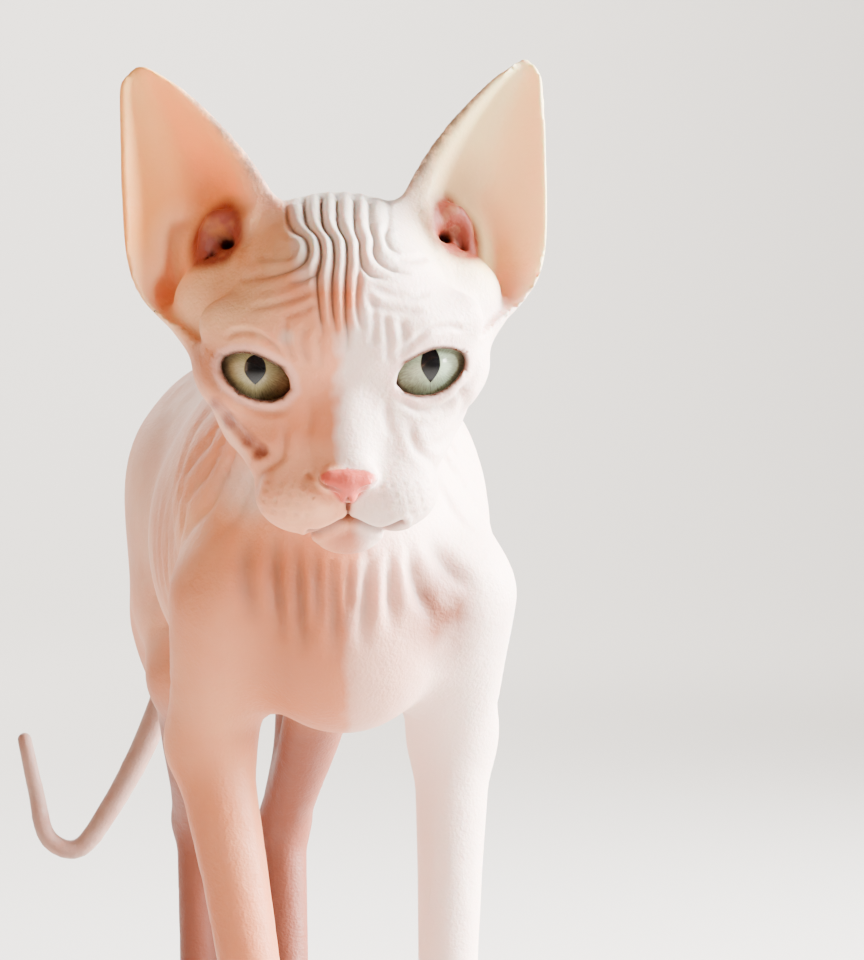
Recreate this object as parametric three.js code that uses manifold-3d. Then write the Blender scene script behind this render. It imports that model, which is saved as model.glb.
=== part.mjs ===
// A sphynx cat standing with its head lowered, life size, as a still model.
// Millimetres, +Z up. The cat faces -Y, its left side is +X and its feet stand on z = 0.
import * as THREE from 'three';
import { mergeVertices } from 'three/addons/utils/BufferGeometryUtils.js';
import Module from 'manifold-3d';

// Driving dimensions. The shoulders stand over y = 0 and the breastbone lies on x = 0.
const gap = 0.3; // between two neighbouring pieces
const margin = 12; // how far a skin runs past its cut before it is trimmed
const cuts = { elbow: 126, wrist: 36, knee: 122, hock: 62, belly: 72, hips: 143 }; // heights, then depths
const neckCut = { middle: [0, -9, 215], lean: 41 };
const tailCuts = [0.24, 0.5, 0.82]; // shares of the tail
const trunk = {
  withersHeight: 243,
  sternumHeight: 137,
  ribWidth: 86,
  ribLength: 150,
  bellyWidth: 88,
  bellyHeight: 131,
  loinHeight: 242,
  rumpHeight: 244,
  rumpEnd: 240,
  rumpShift: -6, // the hindquarters stand a little to the right
  hipWidth: 84,
};
const foreleg = {
  elbow: [36, 17, 131],
  wristHeight: 37,
  thickness: 17.5,
  foot: { left: [32, 3], right: [-22, -7] },
  pawLength: 38,
  pawWidth: 28,
};
const hindleg = {
  knee: [24, 160, 135], // x is counted from the middle of the hindquarters
  hock: [15.5, 216, 74],
  thickness: 15,
  foot: { left: [15.5, 196], right: [-15.5, 206] },
  pawLength: 42,
  pawWidth: 25,
};
const toe = { count: 4, radius: 4.3, length: 8.6, height: 7.4, claw: 3.6, clawRadius: 1.2 };
const tail = {
  route: [[-6, 226, 226], [-12, 247, 196], [-31, 252, 119], [-52, 255, 75], [-65, 257, 59], [-75, 258, 63],
    [-80, 259, 82], [-84, 260, 101]],
  rootRadius: 9,
  tipRadius: 2.6,
};
const head = {
  eyes: [-9.5, -75, 240], // the point midway between the two pupils
  pitch: 23.5, // degrees, nose down
  roll: -1.6,
  yaw: -6, // towards its right
  looksAt: [-108, -768, 235],
};
// The opening between the lids is measured from the pupil, across and up, as the cat is looked in the eye.
const eye = {
  spacing: 46,
  radius: 11.6,
  lid: 1.3,
  upperLid: [[-9.3, 1.4], [-8.1, 3.4], [-5.4, 4.4], [-2.5, 4.6], [0, 4.2], [2.6, 3.1], [5, 1.8], [7.6, 0.4],
    [9.3, -2.2], [9.9, -5.4]], // from the outer corner, towards the nose and up
  lowerLid: [[7.6, -7.6], [4.3, -8.6], [0, -8.3], [-4, -6.7], [-7, -4], [-8.7, -1.2]],
};
// The outline of an ear is measured from the middle of the face, across and up, in an upright plane.
const ear = {
  foot: 12,
  tip: 82,
  outerEdge: 56.8,
  outerFoot: 44,
  innerCurve: [20, -0.57, 0.0112], // the inner edge over the height, as a quadratic
  innerFoot: 12.6,
  innerShift: 1, // the left ear is turned out by this much and the right one in
  setBack: 20,
  cup: 21,
  thickness: 2.6,
  band: [0.45, 0.12], // the flat inner margin, as a share of the ear's width at its foot and at its tip
};
const mouth = { height: -35.6, droop: 4.4, reach: 62 };

const wasm = await Module();
wasm.setup();
const radians = THREE.MathUtils.degToRad;
const { lerp, clamp } = THREE.MathUtils;
const vector = (p) => new THREE.Vector3(...p);
const sides = { left: 1, right: -1 };

// Forms. Each gives its signed distance, negative inside, and the width over which it blends.
function smoothMin(a, b, width) {
  const h = Math.max(width - Math.abs(a - b), 0) / width;
  return Math.min(a, b) - h * h * width * 0.25;
}

function blend(forms) {
  return (p) => forms.reduce((d, form) => (form.hollow
    ? -smoothMin(-d, form.distance(p), form.width)
    : smoothMin(d, form.distance(p), form.width)), 1e4);
}

function turnOf(turn) {
  return new THREE.Quaternion().setFromEuler(new THREE.Euler(...turn.map(radians)));
}

function egg(centre, radii, width, turn = [0, 0, 0]) {
  const unturn = turnOf(turn).invert();
  const q = new THREE.Vector3();
  const distance = (p) => {
    q.set(p.x - centre[0], p.y - centre[1], p.z - centre[2]).applyQuaternion(unturn);
    const near = Math.hypot(q.x / radii[0], q.y / radii[1], q.z / radii[2]);
    const slope = Math.hypot(q.x / radii[0] ** 2, q.y / radii[1] ** 2, q.z / radii[2] ** 2);
    return near < 1e-6 ? -Math.min(...radii) : near * (near - 1) / slope;
  };
  return { distance, width };
}

// A limb through stations [x, y, z, radius].
function limb(stations, width) {
  const distance = (p) => {
    let nearest = Infinity;
    for (let i = 1; i < stations.length; i += 1) {
      const [ax, ay, az, ar] = stations[i - 1];
      const [bx, by, bz, br] = stations[i];
      const [dx, dy, dz] = [bx - ax, by - ay, bz - az];
      const along = (p.x - ax) * dx + (p.y - ay) * dy + (p.z - az) * dz;
      const t = clamp(along / (dx * dx + dy * dy + dz * dz), 0, 1);
      const off = Math.hypot(p.x - ax - dx * t, p.y - ay - dy * t, p.z - az - dz * t);
      nearest = Math.min(nearest, off - lerp(ar, br, t));
    }
    return nearest;
  };
  return { distance, width };
}

// The same form on both sides of the plane x = 0.
function pair(form) {
  const q = new THREE.Vector3();
  const distance = (p) => form.distance(q.set(Math.abs(p.x), p.y, p.z));
  return { ...form, distance };
}

// Trunk
function trunkForms() {
  const { withersHeight, sternumHeight, ribWidth, ribLength, bellyWidth, bellyHeight } = trunk;
  const { loinHeight, rumpHeight, rumpEnd, rumpShift, hipWidth } = trunk;
  const groinHeight = 160;
  const hipLength = 92;
  const ribs = egg([0, 46, (withersHeight + sternumHeight) / 2 - 1],
    [ribWidth / 2, ribLength / 2, (withersHeight - sternumHeight) / 2 + 1], 1, [-3, 0, 0]);
  const belly = egg([rumpShift * 0.4, 118, (loinHeight - 4 + bellyHeight) / 2],
    [bellyWidth / 2, 72, (loinHeight - 4 - bellyHeight) / 2], 30);
  const hips = egg([rumpShift, rumpEnd - hipLength / 2, (rumpHeight + groinHeight) / 2],
    [hipWidth / 2, hipLength / 2, (rumpHeight - groinHeight) / 2], 26);
  const back = limb([[0, 4, 218, 24], [0, 62, 211, 25], [-2, 140, 217, 25], [rumpShift, 200, 220, 22]], 14);
  const breast = egg([0, -8, 173], [31, 32, 37], 18);
  const nape = limb([[0, 18, 203, 34], [-4, -12, 224, 28], [-6, -32, 240, 22]], 14);
  return [ribs, belly, hips, back, breast, nape];
}

// Legs
function forelegForms(side) {
  const sign = sides[side];
  const [footX, footY] = foreleg.foot[side];
  const [elbowX, elbowY, elbowZ] = foreleg.elbow;
  const r = foreleg.thickness / 2;
  const blade = egg([sign * 29, 14, 197], [15, 21, 42], 16, [-38, 0, 0]);
  const upperArm = limb([[sign * 33, -10, 175, 16.5], [sign * elbowX, elbowY, elbowZ, 12]], 12);
  const forearm = limb([[sign * elbowX, elbowY - 2, elbowZ, 11.5],
    [lerp(footX, sign * elbowX, 0.55), lerp(footY, elbowY, 0.5), 92, r + 0.8],
    [footX, footY + 1, foreleg.wristHeight, r - 0.8], [footX, footY - 4, 15, r]], 8);
  return [blade, upperArm, forearm];
}

function hindlegForms(side) {
  const sign = sides[side];
  const place = (x, y, z, r) => [trunk.rumpShift + sign * x, y, z, r];
  const [footX, footY] = hindleg.foot[side];
  const back = footY - 200;
  const { knee, hock } = hindleg;
  const r = hindleg.thickness / 2;
  const thigh = egg([trunk.rumpShift + sign * 27, 190, 174], [15.5, 31, 46], 12, [16, 0, 0]);
  const stifle = limb([place(24, 176, 160, 15), place(...knee, 12.5)], 12);
  const shank = limb([place(...knee, 12.5), place(20.5, 186 + back * 0.4, 107, 10.5),
    place(hock[0], hock[1] + back, hock[2], r)], 10);
  const calf = limb([place(24, 200, 150, 13), place(21, 203, 122, 10), place(17, 211 + back * 0.6, 98, 6),
    place(hock[0], hock[1] + 3 + back, hock[2] + 4, 5)], 12);
  const footRight = trunk.rumpShift + footX;
  const shin = limb([place(hock[0], hock[1] + back + 1, hock[2], r + 0.4), [footRight, footY + 8, 20, r],
    [footRight, footY - 2, 11, 8.5]], 6);
  return [thigh, stifle, shank, calf, shin];
}

// The roots of the toes of one paw, fanned about its middle line.
function toePlaces([x, y], width) {
  const places = [];
  for (let i = 0; i < toe.count; i += 1) {
    const across = i / (toe.count - 1) - 0.5;
    places.push([x + across * (width - toe.radius * 2), y + 10 * Math.abs(across), across]);
  }
  return places;
}

function pawForms({ x, y, width, length }) {
  const sole = egg([x, y, 8.9], [width * 0.43, length * 0.4, 10], 6);
  const toes = toePlaces([x, y - length * 0.38], width)
    .map(([toeX, toeY]) => egg([toeX, toeY, toe.height - 1], [toe.radius, toe.length, toe.height], 1.6, [10, 0, 0]));
  return [sole, ...toes];
}

const paws = {};
for (const side of Object.keys(sides)) {
  const [foreX, foreY] = foreleg.foot[side];
  const [hindX, hindY] = hindleg.foot[side];
  paws[`forepaw_${side}`] = { x: foreX, y: foreY - 9, width: foreleg.pawWidth, length: foreleg.pawLength };
  paws[`hindpaw_${side}`] = { x: trunk.rumpShift + hindX, y: hindY - 6, width: hindleg.pawWidth,
    length: hindleg.pawLength };
}

// Tail
const tailCurve = new THREE.CatmullRomCurve3(tail.route.map(vector), false, 'centripetal');
const tailRadius = (t) => lerp(tail.rootRadius, tail.tipRadius, t ** 0.7);
const tailSteps = 48;
const tailStations = tailCurve.getSpacedPoints(tailSteps)
  .map((p, i) => [p.x, p.y, p.z, tailRadius(i / tailSteps)]);
const tailForm = limb(tailStations, 12);
const tailRoot = limb(tailStations.slice(0, 15), 12);

const body = blend([
  ...trunkForms(),
  ...Object.keys(sides).flatMap(forelegForms),
  ...Object.keys(sides).flatMap(hindlegForms),
  ...Object.values(paws).flatMap(pawForms),
  tailRoot,
]);

// Head, in its own frame: the origin midway between the pupils, -Y out of the face, +Z up through the crown.
const headPose = new THREE.Matrix4().makeRotationFromEuler(
  new THREE.Euler(radians(head.pitch), radians(head.roll), radians(head.yaw), 'ZYX'));
headPose.setPosition(vector(head.eyes));
const headUnpose = headPose.clone().invert();
const fromHead = (p) => vector(p).applyMatrix4(headPose);

// A point of the upright frame of an ear, in the frame of the head.
function fromEar([x, y, z]) {
  const [c, s] = [Math.cos(radians(head.pitch)), Math.sin(radians(head.pitch))];
  return [x, c * y + s * z, c * z - s * y];
}

const skull = blend([
  egg([0, 33, 6], [31, 33, 28], 1),
  egg([0, 9, 11], [27, 20, 18.5], 12),
  pair(egg([22.5, 15, -5], [17, 20, 13], 9)),
  pair(egg([18.5, 21, -20], [15, 18, 15], 10)),
  limb([[0, 6, -3, 12.5], [0, -14, -21, 8]], 7),
  pair(egg([10.3, -12, -30.5], [13.6, 12, 10], 4)),
  limb([[0, 22, -25, 18], [0, -6, -38, 9]], 7),
  egg([0, -11, -42.5], [9, 7, 5.5], 3),
  pair(egg([3.9, -22.6, -21.4], [3.9, 4.4, 2.9], 2.5)),
  limb([[0, -24.6, -21.8, 3.2], [0, -24, -25.2, 2.2]], 2),
  pair(egg([14, 3, -20], [14, 15, 13], 8)),
  pair(egg([12, 3, -6], [8, 9, 12], 6)),
  pair(limb([[8, -3, 7, 5], [20, -1, 10, 5.4], [31, 7, 10, 5.8]], 8)),
  pair(egg([30.5, 29, 6.5], [13.5, 11.5, 13], 9)),
  pair(egg(fromEar([28, 37, 27]), [14, 11, 16], 7)),
  limb([[0, 46, -8, 22], [0, 62, -28, 22]], 10),
]);

const eyes = {};
for (const side of Object.keys(sides)) {
  const pupil = fromHead([sides[side] * eye.spacing / 2, 0, 0]);
  const gaze = vector(head.looksAt).sub(pupil).normalize();
  const across = new THREE.Vector3(0, 0, 1).cross(gaze).normalize();
  const centre = pupil.clone().addScaledVector(gaze, -eye.radius);
  eyes[side] = { centre, gaze, across, up: gaze.clone().cross(across) };
}

const headPoint = new THREE.Vector3();
function headDistance(p) {
  let d = skull(headPoint.copy(p).applyMatrix4(headUnpose));
  for (const { centre } of Object.values(eyes)) {
    d = smoothMin(d, p.distanceTo(centre) - eye.radius - eye.lid, 4);
  }
  return d;
}

const whole = (p) => smoothMin(body(p), headDistance(p), 12);

// Meshes
function closedGeometry(points, faces) {
  const cross = new THREE.Vector3();
  const cone = ([a, b, c]) => points[a].dot(cross.crossVectors(points[b], points[c]));
  const volume = faces.reduce((sum, face) => sum + cone(face), 0);
  const geometry = new THREE.BufferGeometry();
  const places = points.flatMap((p) => [p.x, p.y, p.z]);
  geometry.setAttribute('position', new THREE.Float32BufferAttribute(places, 3));
  geometry.setIndex(volume > 0 ? faces.flat() : faces.flatMap(([a, b, c]) => [a, c, b]));
  return geometry;
}

// A closed mesh over rings of equally many points. Its ends are filled, or joined to each other.
function loft(rings, endless = false) {
  const count = rings[0].length;
  const points = rings.flat();
  const total = points.length;
  const faces = [];
  for (let ring = endless ? 0 : 1; ring < rings.length; ring += 1) {
    for (let i = 0; i < count; i += 1) {
      const next = (i + 1) % count;
      const back = (ring + rings.length - 1) % rings.length;
      const [a, b, c, d] = [back * count + i, back * count + next, ring * count + next, ring * count + i];
      faces.push([a, b, c], [a, c, d]);
    }
  }
  for (const start of endless ? [] : [0, total - count]) {
    const middle = new THREE.Vector3();
    for (let i = 0; i < count; i += 1) middle.addScaledVector(points[start + i], 1 / count);
    points.push(middle);
    for (let i = 0; i < count; i += 1) {
      const [a, b] = [start + i, start + (i + 1) % count];
      faces.push(start === 0 ? [b, a, points.length - 1] : [a, b, points.length - 1]);
    }
  }
  return closedGeometry(points, faces);
}

// A tube of few sides through points, as thick as radius(t) at each.
function tube(points, radius, count, endless = false) {
  const curve = new THREE.CatmullRomCurve3(points, endless, 'centripetal');
  const steps = points.length - (endless ? 0 : 1);
  const frames = curve.computeFrenetFrames(steps, endless);
  const rings = [];
  for (let i = 0; i < steps + (endless ? 0 : 1); i += 1) {
    const t = i / steps;
    const ring = [];
    for (let j = 0; j < count; j += 1) {
      const turn = 2 * Math.PI * j / count;
      ring.push(curve.getPointAt(t)
        .addScaledVector(frames.normals[i], radius(t) * Math.cos(turn))
        .addScaledVector(frames.binormals[i], radius(t) * Math.sin(turn)));
    }
    rings.push(ring);
  }
  return loft(rings, endless);
}

// Where a ray from inside a form first leaves it.
function cast(distance, origin, direction) {
  const p = new THREE.Vector3();
  const at = (r) => distance(p.copy(origin).addScaledVector(direction, r));
  let inside = 0;
  let outside = 0;
  for (let step = 0; step < 400; step += 1) {
    const d = at(outside);
    if (d > 0) break;
    inside = outside;
    outside += Math.max(-d * 0.6, 0.3);
  }
  for (let halving = 0; halving < 14; halving += 1) {
    const middle = (inside + outside) / 2;
    if (at(middle) > 0) outside = middle;
    else inside = middle;
  }
  return origin.clone().addScaledVector(direction, inside);
}

// A skin drawn round an axis inside a form: rings of rays along the axis, and a fan of rays at each end.
function wrap(distance, route, { rings, count, fans }) {
  const axis = new THREE.CatmullRomCurve3(route.map(vector), false, 'centripetal');
  const rows = [];
  for (let i = 1; i < fans[0]; i += 1) rows.push([0, -90 + 90 * i / fans[0]]);
  for (let i = 0; i <= rings; i += 1) rows.push([i / rings, 0]);
  for (let i = 1; i < fans[1]; i += 1) rows.push([1, 90 * i / fans[1]]);
  return loft(rows.map(([t, lean]) => {
    const centre = axis.getPointAt(t);
    const tangent = axis.getTangentAt(t);
    const u = new THREE.Vector3(1, 0, 0).addScaledVector(tangent, -tangent.x).normalize();
    const v = new THREE.Vector3().crossVectors(tangent, u);
    const ring = [];
    for (let i = 0; i < count; i += 1) {
      const turn = 2 * Math.PI * (i + 0.5) / count;
      const direction = new THREE.Vector3()
        .addScaledVector(u, Math.cos(turn) * Math.cos(radians(lean)))
        .addScaledVector(v, Math.sin(turn) * Math.cos(radians(lean)))
        .addScaledVector(tangent, Math.sin(radians(lean)));
      ring.push(cast(distance, centre, direction));
    }
    return ring;
  }));
}

// An even skin round a form, one point to each cell of a grid that the surface passes through.
function nets(distance, low, high, cell) {
  const counts = low.map((from, i) => Math.ceil((high[i] - from) / cell) + 1);
  const [nx, ny] = counts;
  const corner = (i, j, k) => new THREE.Vector3(low[0] + i * cell, low[1] + j * cell, low[2] + k * cell);
  const at = (i, j, k) => i + nx * (j + ny * k);
  const values = [];
  for (let k = 0; k < counts[2]; k += 1) {
    for (let j = 0; j < ny; j += 1) {
      for (let i = 0; i < nx; i += 1) values.push(distance(corner(i, j, k)));
    }
  }
  const steps = [[1, 0, 0], [0, 1, 0], [0, 0, 1]];
  const points = [];
  const owner = new Map();
  const pointOf = (i, j, k) => {
    const key = at(i, j, k);
    if (!owner.has(key)) {
      owner.set(key, points.length);
      points.push(settle(distance, cellMiddle(i, j, k), cell));
    }
    return owner.get(key);
  };
  const cellMiddle = (i, j, k) => {
    const sum = new THREE.Vector3();
    let crossings = 0;
    for (let c = 0; c < 8; c += 1) {
      const a = [i + (c & 1), j + ((c >> 1) & 1), k + (c >> 2)];
      for (const step of steps) {
        const b = a.map((n, axis) => n + step[axis]);
        if (b[0] > i + 1 || b[1] > j + 1 || b[2] > k + 1) continue;
        const [from, to] = [values[at(...a)], values[at(...b)]];
        if ((from < 0) === (to < 0)) continue;
        sum.add(corner(...a).lerp(corner(...b), from / (from - to)));
        crossings += 1;
      }
    }
    return sum.divideScalar(crossings);
  };
  const faces = [];
  for (let k = 1; k < counts[2] - 1; k += 1) {
    for (let j = 1; j < ny - 1; j += 1) {
      for (let i = 1; i < nx - 1; i += 1) {
        steps.forEach((step, axis) => {
          const inside = values[at(i, j, k)] < 0;
          if (inside === values[at(i + step[0], j + step[1], k + step[2])] < 0) return;
          const u = steps[(axis + 1) % 3];
          const v = steps[(axis + 2) % 3];
          const quad = [[1, 1], [0, 1], [0, 0], [1, 0]]
            .map(([a, b]) => pointOf(i - a * u[0] - b * v[0], j - a * u[1] - b * v[1], k - a * u[2] - b * v[2]));
          if (!inside) quad.reverse();
          faces.push([quad[0], quad[2], quad[1]], [quad[0], quad[3], quad[2]]);
        });
      }
    }
  }
  return closedGeometry(points, faces);
}

// A point moved onto the surface, by half a cell at most.
function settle(distance, point, cell) {
  const start = point.clone();
  const slope = new THREE.Vector3();
  const small = 0.05;
  for (let round = 0; round < 3; round += 1) {
    const d = distance(point);
    for (const axis of ['x', 'y', 'z']) {
      const beside = point.clone();
      beside[axis] += small;
      slope[axis] = (distance(beside) - d) / small;
    }
    point.addScaledVector(slope, -d / Math.max(slope.lengthSq(), 0.3));
  }
  return point.distanceTo(start) > cell / 2 ? start : point;
}

function toSolid(geometry) {
  const plain = new THREE.BufferGeometry();
  plain.setAttribute('position', geometry.attributes.position);
  plain.setIndex(geometry.index);
  const merged = mergeVertices(plain, 1e-4);
  return new wasm.Manifold(new wasm.Mesh({
    numProp: 3,
    vertProperties: new Float32Array(merged.attributes.position.array),
    triVerts: new Uint32Array(merged.index.array),
  }));
}

function toGeometry(solid) {
  const { vertProperties, triVerts } = solid.getMesh();
  const geometry = new THREE.BufferGeometry();
  geometry.setAttribute('position', new THREE.Float32BufferAttribute(vertProperties, 3));
  geometry.setIndex(Array.from(triVerts));
  return geometry;
}

function placed(centre, turn) {
  return new THREE.Matrix4().compose(vector(centre), turnOf(turn), vector([1, 1, 1]));
}

// A knife is a box that parts the body: what lies inside it belongs to the piece beyond the cut.
function knife(centre, size, turn = [0, 0, 0], frame = new THREE.Matrix4()) {
  const pose = placed(centre, turn).premultiply(frame);
  const unpose = pose.clone().invert();
  const [a, b, c] = size.map((s) => s / 2);
  const q = new THREE.Vector3();
  const distance = (p) => {
    q.copy(p).applyMatrix4(unpose);
    return Math.max(Math.abs(q.x) - a, Math.abs(q.y) - b, Math.abs(q.z) - c);
  };
  const solid = (grow) => toSolid(new THREE.BoxGeometry(...size.map((s) => s + grow * 2)).applyMatrix4(pose));
  return { distance, solid };
}

// What of a solid lies inside the kept knives and outside the dropped ones, half a gap clear of each.
function part(solid, keep, drop) {
  let result = solid;
  for (const k of keep) result = result.intersect(k.solid(-gap / 2));
  for (const k of drop) result = result.subtract(k.solid(gap / 2));
  return result;
}

// A piece of the body: the skin round a route, run a little past its cuts and then parted there.
function piece(distance, route, detail, keep, drop) {
  const kept = (p) => Math.max(distance(p), ...keep.map((k) => k.distance(p) - margin),
    ...drop.map((k) => -k.distance(p) - margin));
  return part(toSolid(wrap(kept, route, detail)), keep, drop);
}

// The largest body of a solid, without the scraps that a cut may leave.
function largest(solid) {
  return solid.decompose().sort((a, b) => b.volume() - a.volume())[0];
}

// Where the body is parted
const wide = 400;
const floorKnife = knife([0, 60, -wide / 2 - gap / 2], [wide, wide, wide]);
const headKnife = knife([0, -wide / 2, 7], [wide, wide, 146], [0, 0, 0],
  headPose.clone().multiply(placed([0, 44, 0], [-14, 0, 0])));
const neckKnife = knife([0, 0, wide / 2], [wide, wide * 0.5, wide], [0, 0, 0],
  placed(neckCut.middle, [neckCut.lean, 0, 0]));
const bellyKnife = knife([0, cuts.belly + wide / 2, 200], [wide, wide, wide]);
const hipKnife = knife([0, cuts.hips + wide / 2, 200], [wide, wide, wide]);
const elbowKnife = knife([0, 0, cuts.elbow - wide / 2], [160, 120, wide]);
const wristKnife = knife([0, 0, cuts.wrist - wide / 2], [160, 130, wide]);
const kneeKnife = knife([0, 220, cuts.knee - wide / 2], [160, 220, wide]);
const hockKnife = knife([0, 220, cuts.hock - wide / 2], [160, 220, wide]);
const thighKnives = {};
for (const side of Object.keys(sides)) {
  const halfWidth = 60;
  const middle = [trunk.rumpShift + sides[side] * (halfWidth + 7), 197, 72];
  thighKnives[side] = knife(middle, [halfWidth * 2, 200, 200], [20, 0, 0]);
}
function tailKnife(t, reach, breadth) {
  const tangent = tailCurve.getTangentAt(t);
  const turned = new THREE.Quaternion().setFromUnitVectors(new THREE.Vector3(0, 1, 0), tangent);
  const middle = tailCurve.getPointAt(t).addScaledVector(tangent, reach / 2);
  return knife([0, 0, 0], [breadth, reach, breadth], [0, 0, 0],
    new THREE.Matrix4().compose(middle, turned, vector([1, 1, 1])));
}
const tailKnives = tailCuts.map((t) => tailKnife(t, 110, 110));
const tailRootKnife = tailKnife(tailCuts[0], 34, 23);

// Eyes and their lids. The opening runs round from the outer corner over the top and back under the eye.
function lidOpening(side, scale) {
  const toNose = -sides[side];
  return [...eye.upperLid, ...eye.lowerLid].map(([a, b]) => [toNose * a * scale, b * scale]);
}

function eyePoint(side, [a, b], depth) {
  const { centre, gaze, across, up } = eyes[side];
  return centre.clone().addScaledVector(across, a).addScaledVector(up, b).addScaledVector(gaze, depth);
}

function lidCutter(side) {
  const ring = (scale, depth) => lidOpening(side, scale).map((p) => eyePoint(side, p, depth));
  return toSolid(loft([ring(0.75, 3), ring(0.95, eye.radius), ring(1.05, eye.radius + 14)]));
}

function lidRim(side) {
  const lidRadius = eye.radius + eye.lid - 0.5;
  const bulge = (a, b) => Math.sqrt(Math.max(lidRadius ** 2 - a * a - b * b, (lidRadius * 0.45) ** 2));
  const points = lidOpening(side, 1).map(([a, b]) => eyePoint(side, [a, b], bulge(a, b)));
  return toSolid(tube(points, () => 1.1, 6, true));
}

function eyeball(side, grow) {
  const ball = new THREE.SphereGeometry(eye.radius + grow, 15, 10);
  const { centre } = eyes[side];
  return toSolid(ball.translate(centre.x, centre.y, centre.z));
}

// Mouth and nostrils
function headRay(height, degrees, sink) {
  const direction = new THREE.Vector3(Math.sin(radians(degrees)), -Math.cos(radians(degrees)), 0)
    .transformDirection(headPose);
  return cast(headDistance, fromHead([0, 2, height]), direction).addScaledVector(direction, -sink);
}

function mouthLine(drop, sink, reach) {
  const points = [];
  const steps = 12;
  for (let i = 0; i <= steps; i += 1) {
    const across = 2 * i / steps - 1;
    points.push(headRay(mouth.height - mouth.droop * across * across - drop, across * reach, sink));
  }
  return points;
}

function nostril(side) {
  const hole = new THREE.SphereGeometry(1, 8, 6).scale(2.4, 2.2, 1.1);
  hole.rotateY(radians(-18 * sides[side])).translate(sides[side] * 4.6, -26.4, -22.9);
  return toSolid(hole.applyMatrix4(headPose));
}

function canal(side) {
  const middle = fromEar([28.7, 24, 33.5]);
  const hole = new THREE.SphereGeometry(1, 9, 7).scale(3.4, 9, 3.6).rotateX(radians(-head.pitch - 10));
  return toSolid(hole.translate(sides[side] * middle[0], middle[1], middle[2]).applyMatrix4(headPose));
}

const headBox = [[-76, -136, 160], [60, 4, 314]];
const headCell = 4.85;

function headPiece() {
  const chin = mouthLine(2.2, 1.2, mouth.reach * 0.8);
  const line = mouthLine(0, 0.1, mouth.reach);
  const philtrum = [-28.5, -31, -33.5, mouth.height - 0.3].map((height) => headRay(height, 0, 0));
  const kept = (p) => Math.max(whole(p), headKnife.distance(p) - margin);
  let solid = part(toSolid(nets(kept, ...headBox, headCell)), [neckKnife, headKnife], []);
  solid = solid.add(toSolid(tube(chin, (t) => 0.6 + 1.6 * Math.sin(Math.PI * t), 6)));
  for (const side of Object.keys(sides)) solid = solid.add(lidRim(side));
  for (const [groove, depth] of [[line, 0.7], [philtrum, 0.5]]) {
    solid = solid.subtract(toSolid(tube(groove, () => depth, 5)));
  }
  for (const side of Object.keys(sides)) {
    for (const hollow of [lidCutter(side), eyeball(side, gap), nostril(side), canal(side)]) {
      solid = solid.subtract(hollow);
    }
  }
  return solid;
}

// Ears. Each is a cupped sheet over its outline, in a frame that stands upright behind the face.
const earPose = headPose.clone().multiply(new THREE.Matrix4().makeRotationX(radians(-head.pitch)));

function earOutline(t, side) {
  const height = lerp(ear.foot, ear.tip, t);
  const [start, slope, bend] = ear.innerCurve;
  const curve = start + slope * height + bend * height * height + ear.innerShift * sides[side];
  const inner = height > 30 ? -smoothMin(-curve, -ear.innerFoot, 5) : ear.innerFoot;
  const outer = lerp(ear.outerFoot, ear.outerEdge, 1 - (1 - t) ** 9);
  const roundFrom = 0.93;
  const shrink = t > roundFrom ? Math.sqrt(1 - ((t - roundFrom) / (1 - roundFrom)) ** 2 * 0.98) : 1;
  return { height, middle: (inner + outer) / 2, half: (outer - inner) / 2 * shrink };
}

// How far the sheet lies back at a share w of the ear's width, counted from its inner edge.
function earDepth(t, w) {
  const band = lerp(ear.band[0], ear.band[1], clamp(t * 2.2, 0, 1));
  const bow = ear.cup * (1 - t) ** 0.65 + 2;
  const inside = clamp((w - band) / (1 - band), 0, 1);
  return bow * 4.3 * inside * inside / (inside + 0.14) * (1 - inside) * (1.3 - 0.6 * inside);
}

function earPiece(side) {
  const rows = 12;
  const columns = 9;
  const rings = [];
  for (let i = 0; i <= rows; i += 1) {
    const t = Math.sin(Math.PI / 2 * i / rows);
    const { height, middle, half } = earOutline(t, side);
    const front = [];
    const back = [];
    for (let j = 0; j <= columns; j += 1) {
      const w = j / columns;
      const s = 2 * w - 1;
      const x = sides[side] * (middle + s * half);
      const step = 0.01; // either side of this place, to find how steep the cup is here
      const rise = earDepth(t, Math.min(w + step, 1)) - earDepth(t, Math.max(w - step, 0));
      const steep = Math.min(Math.hypot(1, rise / (4 * step * half)), 2.2);
      const thick = ear.thickness * steep * (0.6 + 0.4 * (1 - s ** 4));
      const deep = ear.setBack + earDepth(t, w) + ear.thickness / 2;
      front.push(vector([x, deep - thick / 2, height]).applyMatrix4(earPose));
      back.unshift(vector([x, deep + thick / 2, height]).applyMatrix4(earPose));
    }
    rings.push([...front, ...back]);
  }
  const kept = (p) => Math.max(whole(p) - gap, headKnife.distance(p) - margin);
  const grown = toSolid(nets(kept, ...headBox, headCell));
  return toSolid(loft(rings)).subtract(grown);
}

// Claws, at the ends of the toes
function clawed(solid, { x, y, width, length }) {
  let result = solid;
  for (const [toeX, toeY, across] of toePlaces([x, y - length * 0.38], width)) {
    const reach = toeY - toe.length;
    const path = [[toeX, reach + 3.5, 9], [toeX + across, reach, 8.4],
      [toeX + across * 1.5, reach - toe.claw / 2, 6.2], [toeX + across * 2, reach - toe.claw * 0.7, 3.2]].map(vector);
    result = result.add(toSolid(tube(path, (t) => lerp(toe.clawRadius, 0.15, t), 5)));
  }
  return result;
}

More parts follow.
